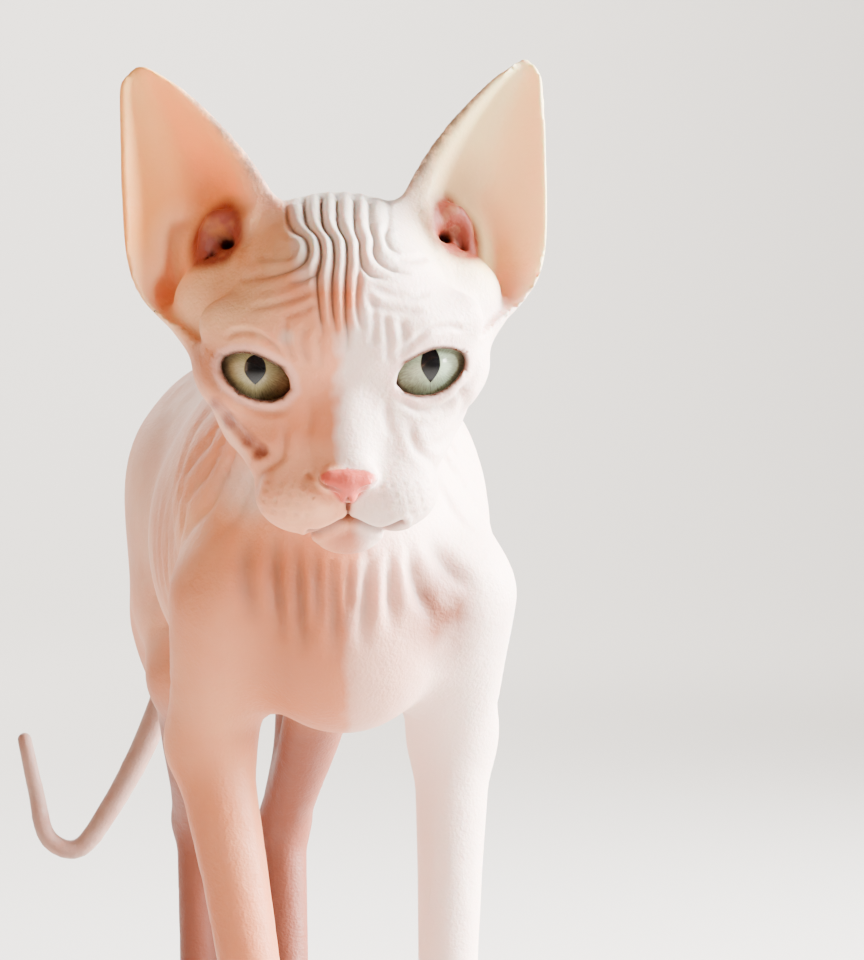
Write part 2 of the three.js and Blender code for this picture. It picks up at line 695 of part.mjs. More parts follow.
// The pieces
const parts = {};
const trunkEnds = [headKnife, elbowKnife, kneeKnife, tailRootKnife];
const trunkCell = 9.5;
const trunkSkin = toSolid(nets((p) => Math.max(whole(p), ...trunkEnds.map((k) => -k.distance(p) - margin)),
  [-70, -66, 96], [62, 270, 300], trunkCell));
const trunkPart = (keep, drop) => part(trunkSkin, keep, [...trunkEnds, ...drop]);
parts.head = headPiece();
parts.neck = trunkPart([neckKnife], []);
parts.chest = trunkPart([], [neckKnife, bellyKnife]);
parts.belly = trunkPart([bellyKnife], [hipKnife]);
parts.hips = trunkPart([hipKnife], Object.values(thighKnives));
for (const side of Object.keys(sides)) {
  const sign = sides[side];
  const [elbowX, elbowY] = foreleg.elbow;
  const [foreX, foreY] = foreleg.foot[side];
  const [hindX, hindY] = hindleg.foot[side];
  const { knee, hock } = hindleg;
  const middle = trunk.rumpShift;
  const hockY = hock[1] + hindY - 200;
  parts[`ear_${side}`] = earPiece(side);
  parts[`eye_${side}`] = eyeball(side, 0);
  parts[`foreleg_${side}`] = piece(body, [[sign * elbowX, elbowY - 4, 132],
    [lerp(foreX, sign * elbowX, 0.55), lerp(foreY, elbowY, 0.5), 92], [foreX, foreY, 31]],
    { rings: 8, count: 16, fans: [1, 1] }, [elbowKnife], [wristKnife]);
  parts[`forepaw_${side}`] = clawed(piece(body, [[foreX, foreY + 2, 41], [foreX, foreY - 4, 18],
    [foreX, foreY - 22, 9]], { rings: 9, count: 22, fans: [1, 5] }, [wristKnife], [floorKnife]),
    paws[`forepaw_${side}`]);
  parts[`thigh_${side}`] = trunkPart([hipKnife, thighKnives[side]], []);
  parts[`shank_${side}`] = piece(body, [[middle + sign * 23, 172, 128], [middle + sign * 20, 195, 100],
    [middle + sign * hock[0], hockY, 54]], { rings: 8, count: 18, fans: [4, 1] }, [kneeKnife],
    [hockKnife]);
  parts[`hindpaw_${side}`] = clawed(piece(body, [[middle + sign * hock[0], hockY, 67],
    [middle + hindX, hindY + 7, 24], [middle + hindX, hindY - 6, 12], [middle + hindX, hindY - 20, 9]],
    { rings: 10, count: 22, fans: [1, 5] }, [hockKnife], [floorKnife]), paws[`hindpaw_${side}`]);
}

function tailRoute(from, to) {
  return [0, 0.2, 0.4, 0.6, 0.8, 1].map((t) => tailCurve.getPointAt(lerp(from, to, t)).toArray());
}

const overrun = 0.012; // how far an axis runs past its cut, as a share of the tail
const tailPart = (from, to, fans, keep, drop) => piece(tailForm.distance, tailRoute(from, to),
  { rings: 9, count: 10, fans }, keep, drop);
['tail_base', 'tail_middle'].forEach((name, i) => {
  parts[name] = tailPart(tailCuts[i] - overrun, tailCuts[i + 1] + overrun, [1, 1], [tailKnives[i]],
    [tailKnives[i + 1]]);
});
parts.tail_tip = tailPart(tailCuts[2] - overrun, 1, [1, 4], [tailKnives[2]], []);

const skin = { color: 0xe9bfa2, roughness: 0.55, metalness: 0 };
const finishes = {
  eye: { color: 0x9fa77c, roughness: 0.08, metalness: 0 },
  ear: { color: 0xf0bd94, roughness: 0.6, metalness: 0 },
  tail: { color: 0xc08f78, roughness: 0.6, metalness: 0 },
};
const group = new THREE.Group();
for (const [name, solid] of Object.entries(parts)) {
  const finish = finishes[name.split('_')[0]] ?? skin;
  const mesh = new THREE.Mesh(toGeometry(largest(solid)), new THREE.MeshStandardMaterial(finish));
  mesh.name = name;
  group.add(mesh);
}

// The origin lies under the middle of the cat's box, on the floor.
const box = new THREE.Box3().setFromObject(group);
group.position.set(-(box.min.x + box.max.x) / 2, -(box.min.y + box.max.y) / 2, -box.min.z);

export default group;
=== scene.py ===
# A sphynx cat, life size, standing with its head lowered: bare folded skin, glassy eyes, small claws
import math
import bmesh
import bpy
import numpy as np
from mathutils import Matrix, Vector


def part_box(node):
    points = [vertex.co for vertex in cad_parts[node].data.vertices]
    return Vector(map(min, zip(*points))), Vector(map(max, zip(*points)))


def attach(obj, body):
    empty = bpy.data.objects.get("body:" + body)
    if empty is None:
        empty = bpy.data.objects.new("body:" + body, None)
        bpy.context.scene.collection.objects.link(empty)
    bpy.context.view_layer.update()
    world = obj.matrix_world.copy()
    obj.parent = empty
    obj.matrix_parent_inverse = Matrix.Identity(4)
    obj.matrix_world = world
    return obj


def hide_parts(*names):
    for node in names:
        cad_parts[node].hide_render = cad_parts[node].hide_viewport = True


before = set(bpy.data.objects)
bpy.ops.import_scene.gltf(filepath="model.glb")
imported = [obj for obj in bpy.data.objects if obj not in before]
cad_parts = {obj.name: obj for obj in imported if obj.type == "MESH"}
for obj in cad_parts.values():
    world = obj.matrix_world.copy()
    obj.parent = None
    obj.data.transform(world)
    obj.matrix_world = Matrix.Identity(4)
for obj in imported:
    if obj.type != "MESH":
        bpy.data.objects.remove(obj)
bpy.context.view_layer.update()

# camera, light and floor
pose = {
    "eyes": (-9.5, -75.0, 240.0),  # millimetres, the point midway between the pupils
    "pitch": 23.5,
    "roll": -1.6,
    "yaw": -6.0,
    "looksAt": (-108.0, -768.0, 235.0),
}
eye = {
    "spacing": 46.0,
    "radius": 11.6,
    "lid": 1.3,
    "upperLid": [(-9.3, 1.4), (-8.1, 3.4), (-5.4, 4.4), (-2.5, 4.6), (0, 4.2), (2.6, 3.1), (5, 1.8),
                 (7.6, 0.4), (9.3, -2.2), (9.9, -5.4)],  # from the outer corner, towards the nose and up
    "lowerLid": [(-8.7, -1.2), (-7, -4), (-4, -6.7), (0, -8.3), (4.3, -8.6), (7.6, -7.6)],
}
view = {
    "place": (-108.4, -768.4, 235.0),
    "azimuth": -10.0,
    "elevation": 2.0,
    "lens": 100.95,
    "sensor": 36,
    "farthest": 30,
    "millimetresPerPixel": 0.26,  # in the plane of the eyes
    "middle": (343.0, 366.5),  # where the point between the eyes falls in the picture
    "focal": 2692.0,
    "frame": (864, 960),
}
studio = {
    "lamps": [  # name, place and target in metres, power, width, colour, spread in degrees
        ("keyLight", (1.35, -0.12, 0.7), (0, -0.05, 0.17), 62.0, 0.9, (0.97, 0.985, 1.0), 70),
        ("catchLight", (0.79, -1.06, 0.49), (0.03, -0.16, 0.24), 14.0, 0.24, (1.0, 0.98, 0.96), 180),
        ("fillLight", (-1.3, -1.0, 0.4), (0, 0, 0.2), 15.0, 1.2, (1.0, 0.64, 0.41), 180),
        ("backLight", (-0.5, 1.2, 0.9), (0, 0, 0.25), 16.0, 0.9, (1.0, 0.93, 0.86), 180),
        ("wallLight", (0, 1.5, 1.7), (0, 2.6, 0.5), 130.0, 1.6, (1.0, 0.98, 0.96), 180),
    ],
    "world": 0.035,
    "worldColour": (1.0, 0.90, 0.82, 1),
    "floorColour": (0.66, 0.63, 0.59, 1),
    "floorRoughness": 0.85,
}


def turn(axis, degrees):
    return np.array(Matrix.Rotation(math.radians(degrees), 3, axis))


headTurn = turn("Z", pose["yaw"]) @ turn("Y", pose["roll"]) @ turn("X", pose["pitch"])
earTurn = headTurn @ turn("X", -pose["pitch"])
eyesMiddle = np.array(pose["eyes"])
sides = {"left": 1, "right": -1}


def eyeFrame(side):
    pupil = eyesMiddle + headTurn @ np.array([sides[side] * eye["spacing"] / 2, 0, 0])
    gaze = np.array(pose["looksAt"]) - pupil
    gaze /= np.linalg.norm(gaze)
    across = np.cross([0, 0, 1], gaze)
    across /= np.linalg.norm(across)
    return {"centre": pupil - gaze * eye["radius"], "gaze": gaze, "across": across,
            "up": np.cross(gaze, across)}


eyeFrames = {side: eyeFrame(side) for side in sides}
eyeLow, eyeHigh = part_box("eye_left")
# from the sculpting frame to the CAD's
shift = (np.array(eyeLow) + np.array(eyeHigh)) * 500 - eyeFrames["left"]["centre"]


def metres(points):
    return (np.asarray(points) + shift) / 1000


azimuth, elevation = math.radians(view["azimuth"]), math.radians(view["elevation"])
viewBack = np.array([math.sin(azimuth) * math.cos(elevation), -math.cos(azimuth) * math.cos(elevation),
                     math.sin(elevation)])
viewRight = np.array([math.cos(azimuth), math.sin(azimuth), 0])
viewUp = np.cross(viewBack, viewRight)


def placed(name, data):
    made = bpy.data.objects.new(name, data)
    bpy.context.collection.objects.link(made)
    return made


camera = placed("camera", bpy.data.cameras.new("camera"))
camera.matrix_world = Matrix.Translation(Vector(metres(view["place"]))) @ Matrix(
    np.stack([viewRight, viewUp, viewBack], 1).tolist()).to_4x4()
camera.data.lens = view["lens"]
camera.data.sensor_width = view["sensor"]
camera.data.clip_end = view["farthest"]
bpy.context.scene.camera = camera


def lamp(name, place, target, power, size, colour, spread):
    light = placed(name, bpy.data.lights.new(name, "AREA"))
    light.data.energy = power
    light.data.size = size
    light.data.color = colour
    light.data.spread = math.radians(spread)
    light.location = place
    light.rotation_euler = (Vector(target) - Vector(place)).to_track_quat("-Z", "Y").to_euler()


for settings in studio["lamps"]:
    lamp(*settings)

world = bpy.data.worlds.new("softRoom")
bpy.context.scene.world = world
world.use_nodes = True
world.node_tree.nodes["Background"].inputs["Color"].default_value = studio["worldColour"]
world.node_tree.nodes["Background"].inputs["Strength"].default_value = studio["world"]


def paleFloor():  # a wide floor that rises into a low wall all round
    middle, reach = (0.0, -1.15), (4.0, 2.85)
    rise, height, around, steps = 0.9, 2.8, 96, 12
    profile = [(0.0, 0.0)]
    for step in range(1, steps + 1):
        angle = math.pi / 2 * step / steps
        profile.append((rise * math.sin(angle), rise * (1 - math.cos(angle))))
    profile.append((rise, height))
    points = []
    for out, z in profile:
        for i in range(around):
            angle = 2 * math.pi * i / around
            points.append((middle[0] + (reach[0] + out) * math.cos(angle),
                           middle[1] + (reach[1] + out) * math.sin(angle), z))
    faces = [tuple(range(around))]
    for ring in range(len(profile) - 1):
        for i in range(around):
            a, b = ring * around + i, ring * around + (i + 1) % around
            faces.append((a, a + around, b + around, b))
    mesh = bpy.data.meshes.new("paleFloor")
    mesh.from_pydata(points, [], faces)
    mesh.polygons.foreach_set("use_smooth", [True] * len(faces))
    floor = placed("paleFloor", mesh)
    material = bpy.data.materials.new("paleFloor")
    material.use_nodes = True
    shader = material.node_tree.nodes["Principled BSDF"]
    shader.inputs["Base Color"].default_value = studio["floorColour"]
    shader.inputs["Roughness"].default_value = studio["floorRoughness"]
    mesh.materials.append(material)


paleFloor()
print("camera, lights and floor made")


# the cat's form: each piece of flesh gives its distance, and how softly it runs into the rest
def lengths(d):
    return np.sqrt(np.einsum("ij,ij->i", d, d))


def smoothMin(a, b, width):
    h = np.maximum(width - np.abs(a - b), 0) / width
    return np.minimum(a, b) - h * h * width * 0.25


def smoothMax(a, b, width):
    return -smoothMin(-a, -b, width)


def egg(centre, radii, width, lean=0.0):
    c, s = math.cos(math.radians(lean)), math.sin(math.radians(lean))
    radii = np.array(radii, dtype=float)

    def distance(p):
        d = p - np.array(centre)
        q = np.stack([d[:, 0], c * d[:, 1] + s * d[:, 2], -s * d[:, 1] + c * d[:, 2]], 1)
        near = np.sqrt(((q / radii) ** 2).sum(1))
        slope = np.sqrt(((q / radii ** 2) ** 2).sum(1))
        return near * (near - 1) / np.maximum(slope, 1e-6)

    return {"distance": distance, "width": width, "centre": np.array(centre, dtype=float),
            "reach": radii.max()}


def limb(stations, width):
    stations = np.array(stations, dtype=float)
    centre = stations[:, :3].mean(0)
    reach = (np.linalg.norm(stations[:, :3] - centre, axis=1) + stations[:, 3]).max()

    def distance(p):
        nearest = np.full(len(p), 1e3)
        for a, b in zip(stations[:-1], stations[1:]):
            along = b[:3] - a[:3]
            t = np.clip(((p - a[:3]) @ along) / (along @ along), 0, 1)
            off = lengths(p - a[:3] - t[:, None] * along)
            nearest = np.minimum(nearest, off - (a[3] + (b[3] - a[3]) * t))
        return nearest

    return {"distance": distance, "width": width, "centre": centre, "reach": reach}


def pair(form):
    return {**form, "paired": True}


def mirror(p):
    mirrored = p.copy()
    mirrored[:, 0] = np.abs(p[:, 0])
    return mirrored


farAway = 34  # millimetres from a form, past which its rough distance will do


def blend(forms, p):
    d = np.full(len(p), 1e3)
    mirrored = mirror(p)
    for form in forms:
        q = mirrored if form.get("paired") else p
        away = lengths(q - form["centre"]) - form["reach"]
        near = away < farAway
        away[near] = form["distance"](q[near])
        d = smoothMin(d, away, form["width"])
    return d


trunk = {"withers": 243, "sternum": 137, "ribWidth": 86, "ribLength": 150, "bellyWidth": 88,
         "bellyHeight": 131, "loin": 242, "rump": 244, "rumpEnd": 240, "rumpShift": -6, "hipWidth": 84,
         "hipLength": 92, "groin": 160}
foreleg = {"elbow": (36, 17, 131), "wrist": 37, "thickness": 17.5,
           "foot": {"left": (32, 3), "right": (-22, -7)}, "pawLength": 38, "pawWidth": 28}
hindleg = {"knee": (24, 160, 135), "hock": (15.5, 216, 74), "thickness": 15,
           "foot": {"left": (15.5, 196), "right": (-15.5, 206)}, "pawLength": 42, "pawWidth": 25}
toe = {"count": 4, "radius": 4.3, "length": 8.6, "height": 7.4, "forward": 0.38, "arc": 10}
tail = {
    "route": [(-6, 226, 226), (-12, 247, 196), (-31, 252, 119), (-52, 255, 75), (-65, 257, 59),
              (-75, 258, 63), (-80, 259, 82), (-84, 260, 101)],
    "rootRadius": 9.0,
    "tipRadius": 2.6,
    "taper": 0.7,
    "steps": 72,
    "rootSteps": 18,  # steps that run softly into the rump
    "sectionSteps": 9,
}


def trunkForms():
    t = trunk
    return [
        egg((0, 46, (t["withers"] + t["sternum"]) / 2 - 1),
            (t["ribWidth"] / 2, t["ribLength"] / 2, (t["withers"] - t["sternum"]) / 2 + 1), 1, -3),  # ribs
        egg((t["rumpShift"] * 0.4, 118, (t["loin"] - 4 + t["bellyHeight"]) / 2),
            (t["bellyWidth"] / 2, 72, (t["loin"] - 4 - t["bellyHeight"]) / 2), 30),  # belly
        egg((t["rumpShift"], t["rumpEnd"] - t["hipLength"] / 2, (t["rump"] + t["groin"]) / 2),
            (t["hipWidth"] / 2, t["hipLength"] / 2, (t["rump"] - t["groin"]) / 2), 26),  # hips
        limb([(0, 4, 218, 24), (0, 62, 211, 25), (-2, 140, 217, 25), (t["rumpShift"], 200, 220, 22)],
             14),  # back
        egg((0, -8, 173), (31, 32, 37), 18),  # breast
        limb([(0, 18, 203, 34), (-4, -12, 224, 28), (-6, -32, 240, 22)], 14),  # neck
    ]


def forelegForms(side):
    sign = sides[side]
    footX, footY = foreleg["foot"][side]
    x, y, z = foreleg["elbow"]
    r = foreleg["thickness"] / 2
    return [
        egg((sign * 29, 14, 197), (15, 21, 42), 16, -38),  # shoulder blade
        limb([(sign * 33, -10, 175, 16.5), (sign * x, y, z, 12)], 12),  # upper arm
        limb([(sign * x, y - 2, z, 11.5), (footX + (sign * x - footX) * 0.55, (footY + y) / 2, 92, r + 0.8),
              (footX, footY + 1, foreleg["wrist"], r - 0.8), (footX, footY - 4, 15, r)], 8),
    ]


def hindlegForms(side):
    sign = sides[side]
    footX, footY = hindleg["foot"][side]
    back = footY - 200
    knee, hock, r = hindleg["knee"], hindleg["hock"], hindleg["thickness"] / 2

    def at(x, y, z, radius):
        return trunk["rumpShift"] + sign * x, y, z, radius

    footX += trunk["rumpShift"]
    return [
        egg((trunk["rumpShift"] + sign * 27, 190, 174), (15.5, 31, 46), 12, 16),  # thigh
        limb([at(24, 176, 160, 15), at(*knee, 12.5)], 12),
        limb([at(*knee, 12.5), at(20.5, 186 + back * 0.4, 107, 10.5),
              at(hock[0], hock[1] + back, hock[2], r)], 10),  # shank
        limb([at(24, 200, 150, 13), at(21, 203, 122, 10), at(17, 211 + back * 0.6, 98, 6),
              at(hock[0], hock[1] + 3 + back, hock[2] + 4, 5)], 12),  # heel cord
        limb([at(hock[0], hock[1] + back + 1, hock[2], r + 0.4), (footX, footY + 8, 20, r),
              (footX, footY - 2, 11, 8.5)], 6),  # hind foot
    ]


def toePlaces(x, y, width):
    places = []
    for i in range(toe["count"]):
        across = i / (toe["count"] - 1) - 0.5
        places.append((x + across * (width - toe["radius"] * 2), y + toe["arc"] * abs(across), across))
    return places


paws = []
for side in sides:
    foreX, foreY = foreleg["foot"][side]
    hindX, hindY = hindleg["foot"][side]
    paws.append({"x": foreX, "y": foreY - 9, "width": foreleg["pawWidth"], "length": foreleg["pawLength"]})
    paws.append({"x": trunk["rumpShift"] + hindX, "y": hindY - 6, "width": hindleg["pawWidth"],
                 "length": hindleg["pawLength"]})


def pawForms(paw):
    forms = [egg((paw["x"], paw["y"], 8.9), (paw["width"] * 0.43, paw["length"] * 0.4, 10), 6)]
    for x, y, across in toePlaces(paw["x"], paw["y"] - paw["length"] * toe["forward"], paw["width"]):
        forms.append(egg((x, y, toe["height"] - 1), (toe["radius"], toe["length"], toe["height"]), 1.6, 10))
    return forms


def smoothRoute(points, count, between=24):  # evenly spaced points on a smooth curve through the given ones
    points = np.array(points, dtype=float)
    ends = np.vstack([2 * points[0] - points[1], points, 2 * points[-1] - points[-2]])
    fine = []
    for i in range(len(points) - 1):
        four = ends[i:i + 4]
        knots = np.cumsum([0] + [np.linalg.norm(b - a) ** 0.5 for a, b in zip(four[:-1], four[1:])])
        for t in np.linspace(knots[1], knots[2], between, endpoint=i == len(points) - 2):
            def run(a, b, i, j):
                return (knots[j] - t) / (knots[j] - knots[i]) * a + (t - knots[i]) / (knots[j] - knots[i]) * b

            a1, a2, a3 = (run(four[k], four[k + 1], k, k + 1) for k in range(3))
            fine.append(run(run(a1, a2, 0, 2), run(a2, a3, 1, 3), 1, 2))
    fine = np.array(fine)
    along = np.concatenate([[0], np.cumsum(np.linalg.norm(np.diff(fine, axis=0), axis=1))])
    return np.stack([np.interp(np.linspace(0, along[-1], count), along, fine[:, k]) for k in range(3)], 1)


tailRoute = smoothRoute(tail["route"], tail["steps"] + 1)
tailStations = [(*p, tail["rootRadius"] + (tail["tipRadius"] - tail["rootRadius"]) *
                 (i / tail["steps"]) ** tail["taper"]) for i, p in enumerate(tailRoute)]

bodyForms = trunkForms()
for side in sides:
    bodyForms += forelegForms(side) + hindlegForms(side)
for paw in paws:
    bodyForms += pawForms(paw)
bodyForms.append(limb(tailStations[:tail["rootSteps"] + 1], 12))
bodyForms += [limb(tailStations[i:i + tail["sectionSteps"] + 1], 0.5)
              for i in range(tail["rootSteps"], tail["steps"], tail["sectionSteps"])]


def fromEar(x, y, z):  # an ear's own upright frame turned into the head's
    c, s = math.cos(math.radians(pose["pitch"])), math.sin(math.radians(pose["pitch"]))
    return x, c * y + s * z, c * z - s * y


skullForms = [
    egg((0, 33, 6), (31, 33, 28), 1),
    egg((0, 9, 11), (27, 20, 18.5), 12),  # forehead
    pair(egg((22.5, 15, -5), (17, 20, 13), 9)),  # cheekbone
    pair(egg((18.5, 21, -20), (15, 18, 15), 10)),
    limb([(0, 6, -3, 12.5), (0, -14, -21, 8)], 7),  # bridge of the nose
    pair(egg((10.3, -12, -30.5), (13.6, 12, 10), 4)),  # whisker pad
    limb([(0, 22, -25, 18), (0, -6, -38, 9)], 7),  # jaw
    egg((0, -11, -42.5), (9, 7, 5.5), 3),  # chin
    pair(egg((3.9, -22.6, -21.4), (3.9, 4.4, 2.9), 2.5)),  # wings of the nose
    limb([(0, -24.6, -21.8, 3.2), (0, -24, -25.2, 2.2)], 2),
    pair(egg((14, 3, -20), (14, 15, 13), 8)),
    pair(egg((12, 3, -6), (8, 9, 12), 6)),
    pair(limb([(8, -3, 7, 5), (20, -1, 10, 5.4), (31, 7, 10, 5.8)], 8)),  # brow
    pair(egg((30.5, 29, 6.5), (13.5, 11.5, 13), 9)),
    pair(egg(fromEar(28, 37, 27), (14, 11, 16), 7)),  # root of the ear
    pair(egg(fromEar(31.5, 23.5, 40), (3.6, 2.6, 3.0), 2.5)),  # small folds round the canal
    pair(limb([(*fromEar(35, 24, 37.5), 1.7), (*fromEar(35.6, 24.5, 31), 1.9)], 2.5)),
    pair(limb([(*fromEar(24, 21.5, 38), 1.6), (*fromEar(25, 21, 31.5), 1.9), (*fromEar(30, 22, 27.5), 1.8)],
              2.5)),
    limb([(0, 46, -8, 22), (0, 62, -28, 22)], 10),  # nape
]

ear = {
    "foot": 12.0,
    "tip": 82.0,
    "outerEdge": 56.8,
    "outerFoot": 44.0,
    "outerSweep": 9,
    "innerCurve": (20.0, -0.57, 0.0112),
    "innerFoot": 12.6,
    "innerShift": 1.0,
    "footSlant": 1.1,
    "setBack": 20.0,
    "cup": 21.0,
    "thickness": 3.1,
    "tipThicker": 0.6,
    "tipDraw": 1.8,  # how far the outer edge is drawn in at the tip
    "roundTip": 7.0,
    "band": (0.45, 0.12),  # the flat inner margin, as a share of the ear's width at its foot and at its tip
}


def share(x):
    return np.clip(x, 0, 1)


def fade(x, start, width):  # 0 at the start and 1 a width on, the other way round for a negative width
    return np.clip((x - start) / width, 0, 1)


def earOutline(z, sign):  # how far up, the middle and the half width of an ear at a height
    t = np.clip((z - ear["foot"]) / (ear["tip"] - ear["foot"]), 0, 1)
    start, slope, bend = ear["innerCurve"]
    z = np.clip(z, 0, ear["tip"])
    curve = start + slope * z + bend * z * z + ear["innerShift"] * sign
    inner = np.where(z > 30, smoothMax(curve, ear["innerFoot"], 5), ear["innerFoot"])
    outer = ear["outerFoot"] + (ear["outerEdge"] - ear["outerFoot"]) * (1 - (1 - t) ** ear["outerSweep"])
    outer -= np.maximum(ear["foot"] - z, 0) * ear["footSlant"]
    outer -= ear["tipDraw"] * fade(t, 0.88, 0.12) ** 2
    return t, (inner + outer) / 2, np.maximum((outer - inner) / 2, 0.5)


def earBow(t, x, middle, half):  # how far the leaf of the ear lies back, and how steeply
    band = ear["band"][0] + (ear["band"][1] - ear["band"][0]) * share(t * 2.2)
    bow = ear["cup"] * 1.108 * ((1.04 - t) ** 0.65 - 0.123) + 2

    def depth(w):
        inside = fade(w, band, 1 - band)
        start = inside ** 2 / (inside + 0.14)
        return bow * 4.3 * start * (1 - inside) * (1.3 - 0.6 * inside)

    w, small = np.clip((x - middle) / half, -1, 1) / 2 + 0.5, 0.01
    steep = (depth(np.minimum(w + small, 1)) - depth(np.maximum(w - small, 0))) / (4 * small * half)
    return depth(w), np.sqrt(1 + steep ** 2)


def earForm(p, sign):
    q = (p - eyesMiddle) @ earTurn
    x, y, z = sign * q[:, 0], q[:, 1], q[:, 2]
    t, middle, half = earOutline(z, sign)
    depth, steep = earBow(t, x, middle, half)
    thick = ear["thickness"] + ear["tipThicker"] * fade(t, 0.8, 0.2)
    sheet = np.abs(y - ear["setBack"] - depth - thick / 2) / steep - thick / 2
    rise = np.maximum(z - ear["tip"] + ear["roundTip"], 0) / ear["roundTip"]
    steepness = half + np.maximum(ear["roundTip"] - half, 0) * np.minimum(rise * 2.5, 1)
    edge = (np.hypot((x - middle) / half, rise) - 1) * steepness
    return smoothMax(smoothMax(sheet, edge * 0.85, 1.4), ear["foot"] - 8 - z, 2)


def lineDistance(u, v, line):  # distance to a line of points, and how far along it the nearest place is
    line = np.array(line, dtype=float)
    steps = np.linalg.norm(np.diff(line, axis=0), axis=1)
    starts = np.concatenate([[0], np.cumsum(steps)])
    nearest, along = np.full(len(u), 1e3), np.zeros(len(u))
    for a, b, start, length in zip(line[:-1], line[1:], starts, steps):
        t = np.clip(((u - a[0]) * (b[0] - a[0]) + (v - a[1]) * (b[1] - a[1])) / length ** 2, 0, 1)
        away = np.hypot(u - a[0] - t * (b[0] - a[0]), v - a[1] - t * (b[1] - a[1]))
        closer = away < nearest
        nearest = np.where(closer, away, nearest)
        along = np.where(closer, (start + t * length) / starts[-1], along)
    return nearest, along


def softLine(line):
    if len(line) < 3:
        return line
    return smoothRoute([(x, y, 0) for x, y in line], 5 * len(line))[:, :2]


def eyeCoordinates(p, side):
    f = eyeFrames[side]
    d = p - f["centre"]
    return -sides[side] * (d @ f["across"]), d @ f["up"], d @ f["gaze"]  # towards the nose, up, out


def lidOpening(p, side):
    a, b, out = eyeCoordinates(p, side)
    away = np.full(len(p), 30.0)
    close = (np.hypot(a, b) < 18) & (out > -6)
    a, b = a[close], b[close]
    inside = np.ones(len(a), bool)
    upper, lower = eye["upperLid"], [eye["upperLid"][0]] + eye["lowerLid"] + [eye["upperLid"][-1]]
    inside &= (b < np.interp(a, *zip(*upper))) & (b > np.interp(a, *zip(*lower)))
    inside &= (a > upper[0][0]) & (a < upper[-1][0])
    edge = lineDistance(a, b, upper + lower[-2:0:-1] + upper[:1])[0]
    away[close] = smoothMax(np.where(inside, -edge, edge) + 0.5, 3 - out[close], 1)
    return away


def headForm(p):
    q = (p - eyesMiddle) @ headTurn
    d = blend(skullForms, q)
    for side, sign in sides.items():
        near = lengths(p - eyeFrames[side]["centre"]) - eye["radius"] - eye["lid"]
        d = smoothMin(d, near, 4)
        reach = np.abs(q[:, 0] * sign - 35) < 40
        flap = np.full(len(p), 50.0)
        flap[reach] = earForm(p[reach], sign)
        d = smoothMin(d, flap, 7)
    return d


hollows = [  # cut on both sides of the head: the nostril, the canal of the ear and a slit beside it
    limb([(2.6, -28.6, -25, 0.8), (3.6, -27, -23.2, 1.15), (5.6, -25.6, -22.3, 0.9),
          (7.8, -22.5, -21.5, 0.5)], 0.9),
    limb([(*fromEar(29.0, 18, 35), 1.9), (*fromEar(28.4, 33, 31), 1.5)], 2),
    limb([(*fromEar(33.6, 21, 39), 0.7), (*fromEar(33.2, 23, 29.5), 1.2)], 1),
]
headReach = {"behindEyes": 30, "radius": 125}  # the ball that holds the whole head


def catForm(p):
    flesh = blend(bodyForms, p)
    near = lengths(p - (eyesMiddle + np.array([0, headReach["behindEyes"], 0]))) < headReach["radius"]
    d = np.maximum(flesh, -p[:, 2])
    if near.any():
        q = p[near]
        head = smoothMin(flesh[near], headForm(q), 12)
        for side in sides:
            head = smoothMax(head, -lidOpening(q, side), 0.9)
        local = mirror((q - eyesMiddle) @ headTurn)
        for hollow in hollows:
            head = smoothMax(head, -hollow["distance"](local), hollow["width"])
        d[near] = head
    return d


# from form to skin
def inChunks(form, points, size=400000):
    return np.concatenate([form(points[i:i + size]) for i in range(0, len(points), size)])


def readForm(form, axes, cell, stride=3, margin=7):  # sparsely at first, then in full where the skin is near
    rough = [axis[::stride] for axis in axes]
    corners = np.stack(np.meshgrid(*rough, indexing="ij"), -1)
    values = inChunks(form, corners.reshape(-1, 3)).reshape(corners.shape[:3])
    values = values[np.ix_(*(np.minimum((np.arange(len(axis)) + 1) // stride, len(few) - 1)
                             for axis, few in zip(axes, rough)))]
    close = np.abs(values) < margin * cell
    values[close] = inChunks(form, np.stack(np.meshgrid(*axes, indexing="ij"), -1)[close])
    return values


def netOver(form, low, high, cell):
    axes = [np.arange(a, b + cell, cell) for a, b in zip(low, high)]
    shape = tuple(len(a) for a in axes)
    values = readForm(form, axes, cell)
    cells = tuple(n - 1 for n in shape)
    total = cells[0] * cells[1] * cells[2]
    sums, counts, quads = np.zeros((total, 3)), np.zeros(total), []
    for axis in range(3):
        first = np.take(values, range(shape[axis] - 1), axis)
        second = np.take(values, range(1, shape[axis]), axis)
        index = np.argwhere((first < 0) != (second < 0))
        a, b = first[tuple(index.T)], second[tuple(index.T)]
        point = np.array(low) + index * cell
        point[:, axis] += a / (a - b) * cell
        u, v = (axis + 1) % 3, (axis + 2) % 3
        keys, usable = [], np.ones(len(index), bool)
        for du, dv in ((-1, -1), (0, -1), (0, 0), (-1, 0)):
            cell3 = index.copy()
            cell3[:, u] += du
            cell3[:, v] += dv
            good = (cell3 >= 0).all(1) & (cell3 < np.array(cells)).all(1)
            usable &= good
            key = (cell3[:, 0] * cells[1] + cell3[:, 1]) * cells[2] + cell3[:, 2]
            keys.append(key)
            for k in range(3):
                sums[:, k] += np.bincount(key[good], point[good, k], total)
            counts += np.bincount(key[good], minlength=total)
        quad = np.stack(keys, 1)[usable]
        flip = a[usable] >= 0
        quad[flip] = quad[flip][:, ::-1]
        quads.append(quad)
    quads = np.concatenate(quads)
    used = np.unique(quads)
    renumber = np.zeros(total, int)
    renumber[used] = np.arange(len(used))
    return sums[used] / counts[used][:, None], renumber[quads]


def slopes(form, points, values, small=0.05):
    result = np.empty_like(points)
    for k in range(3):
        beside = points.copy()
        beside[:, k] += small
        result[:, k] = (inChunks(form, beside) - values) / small
    return result


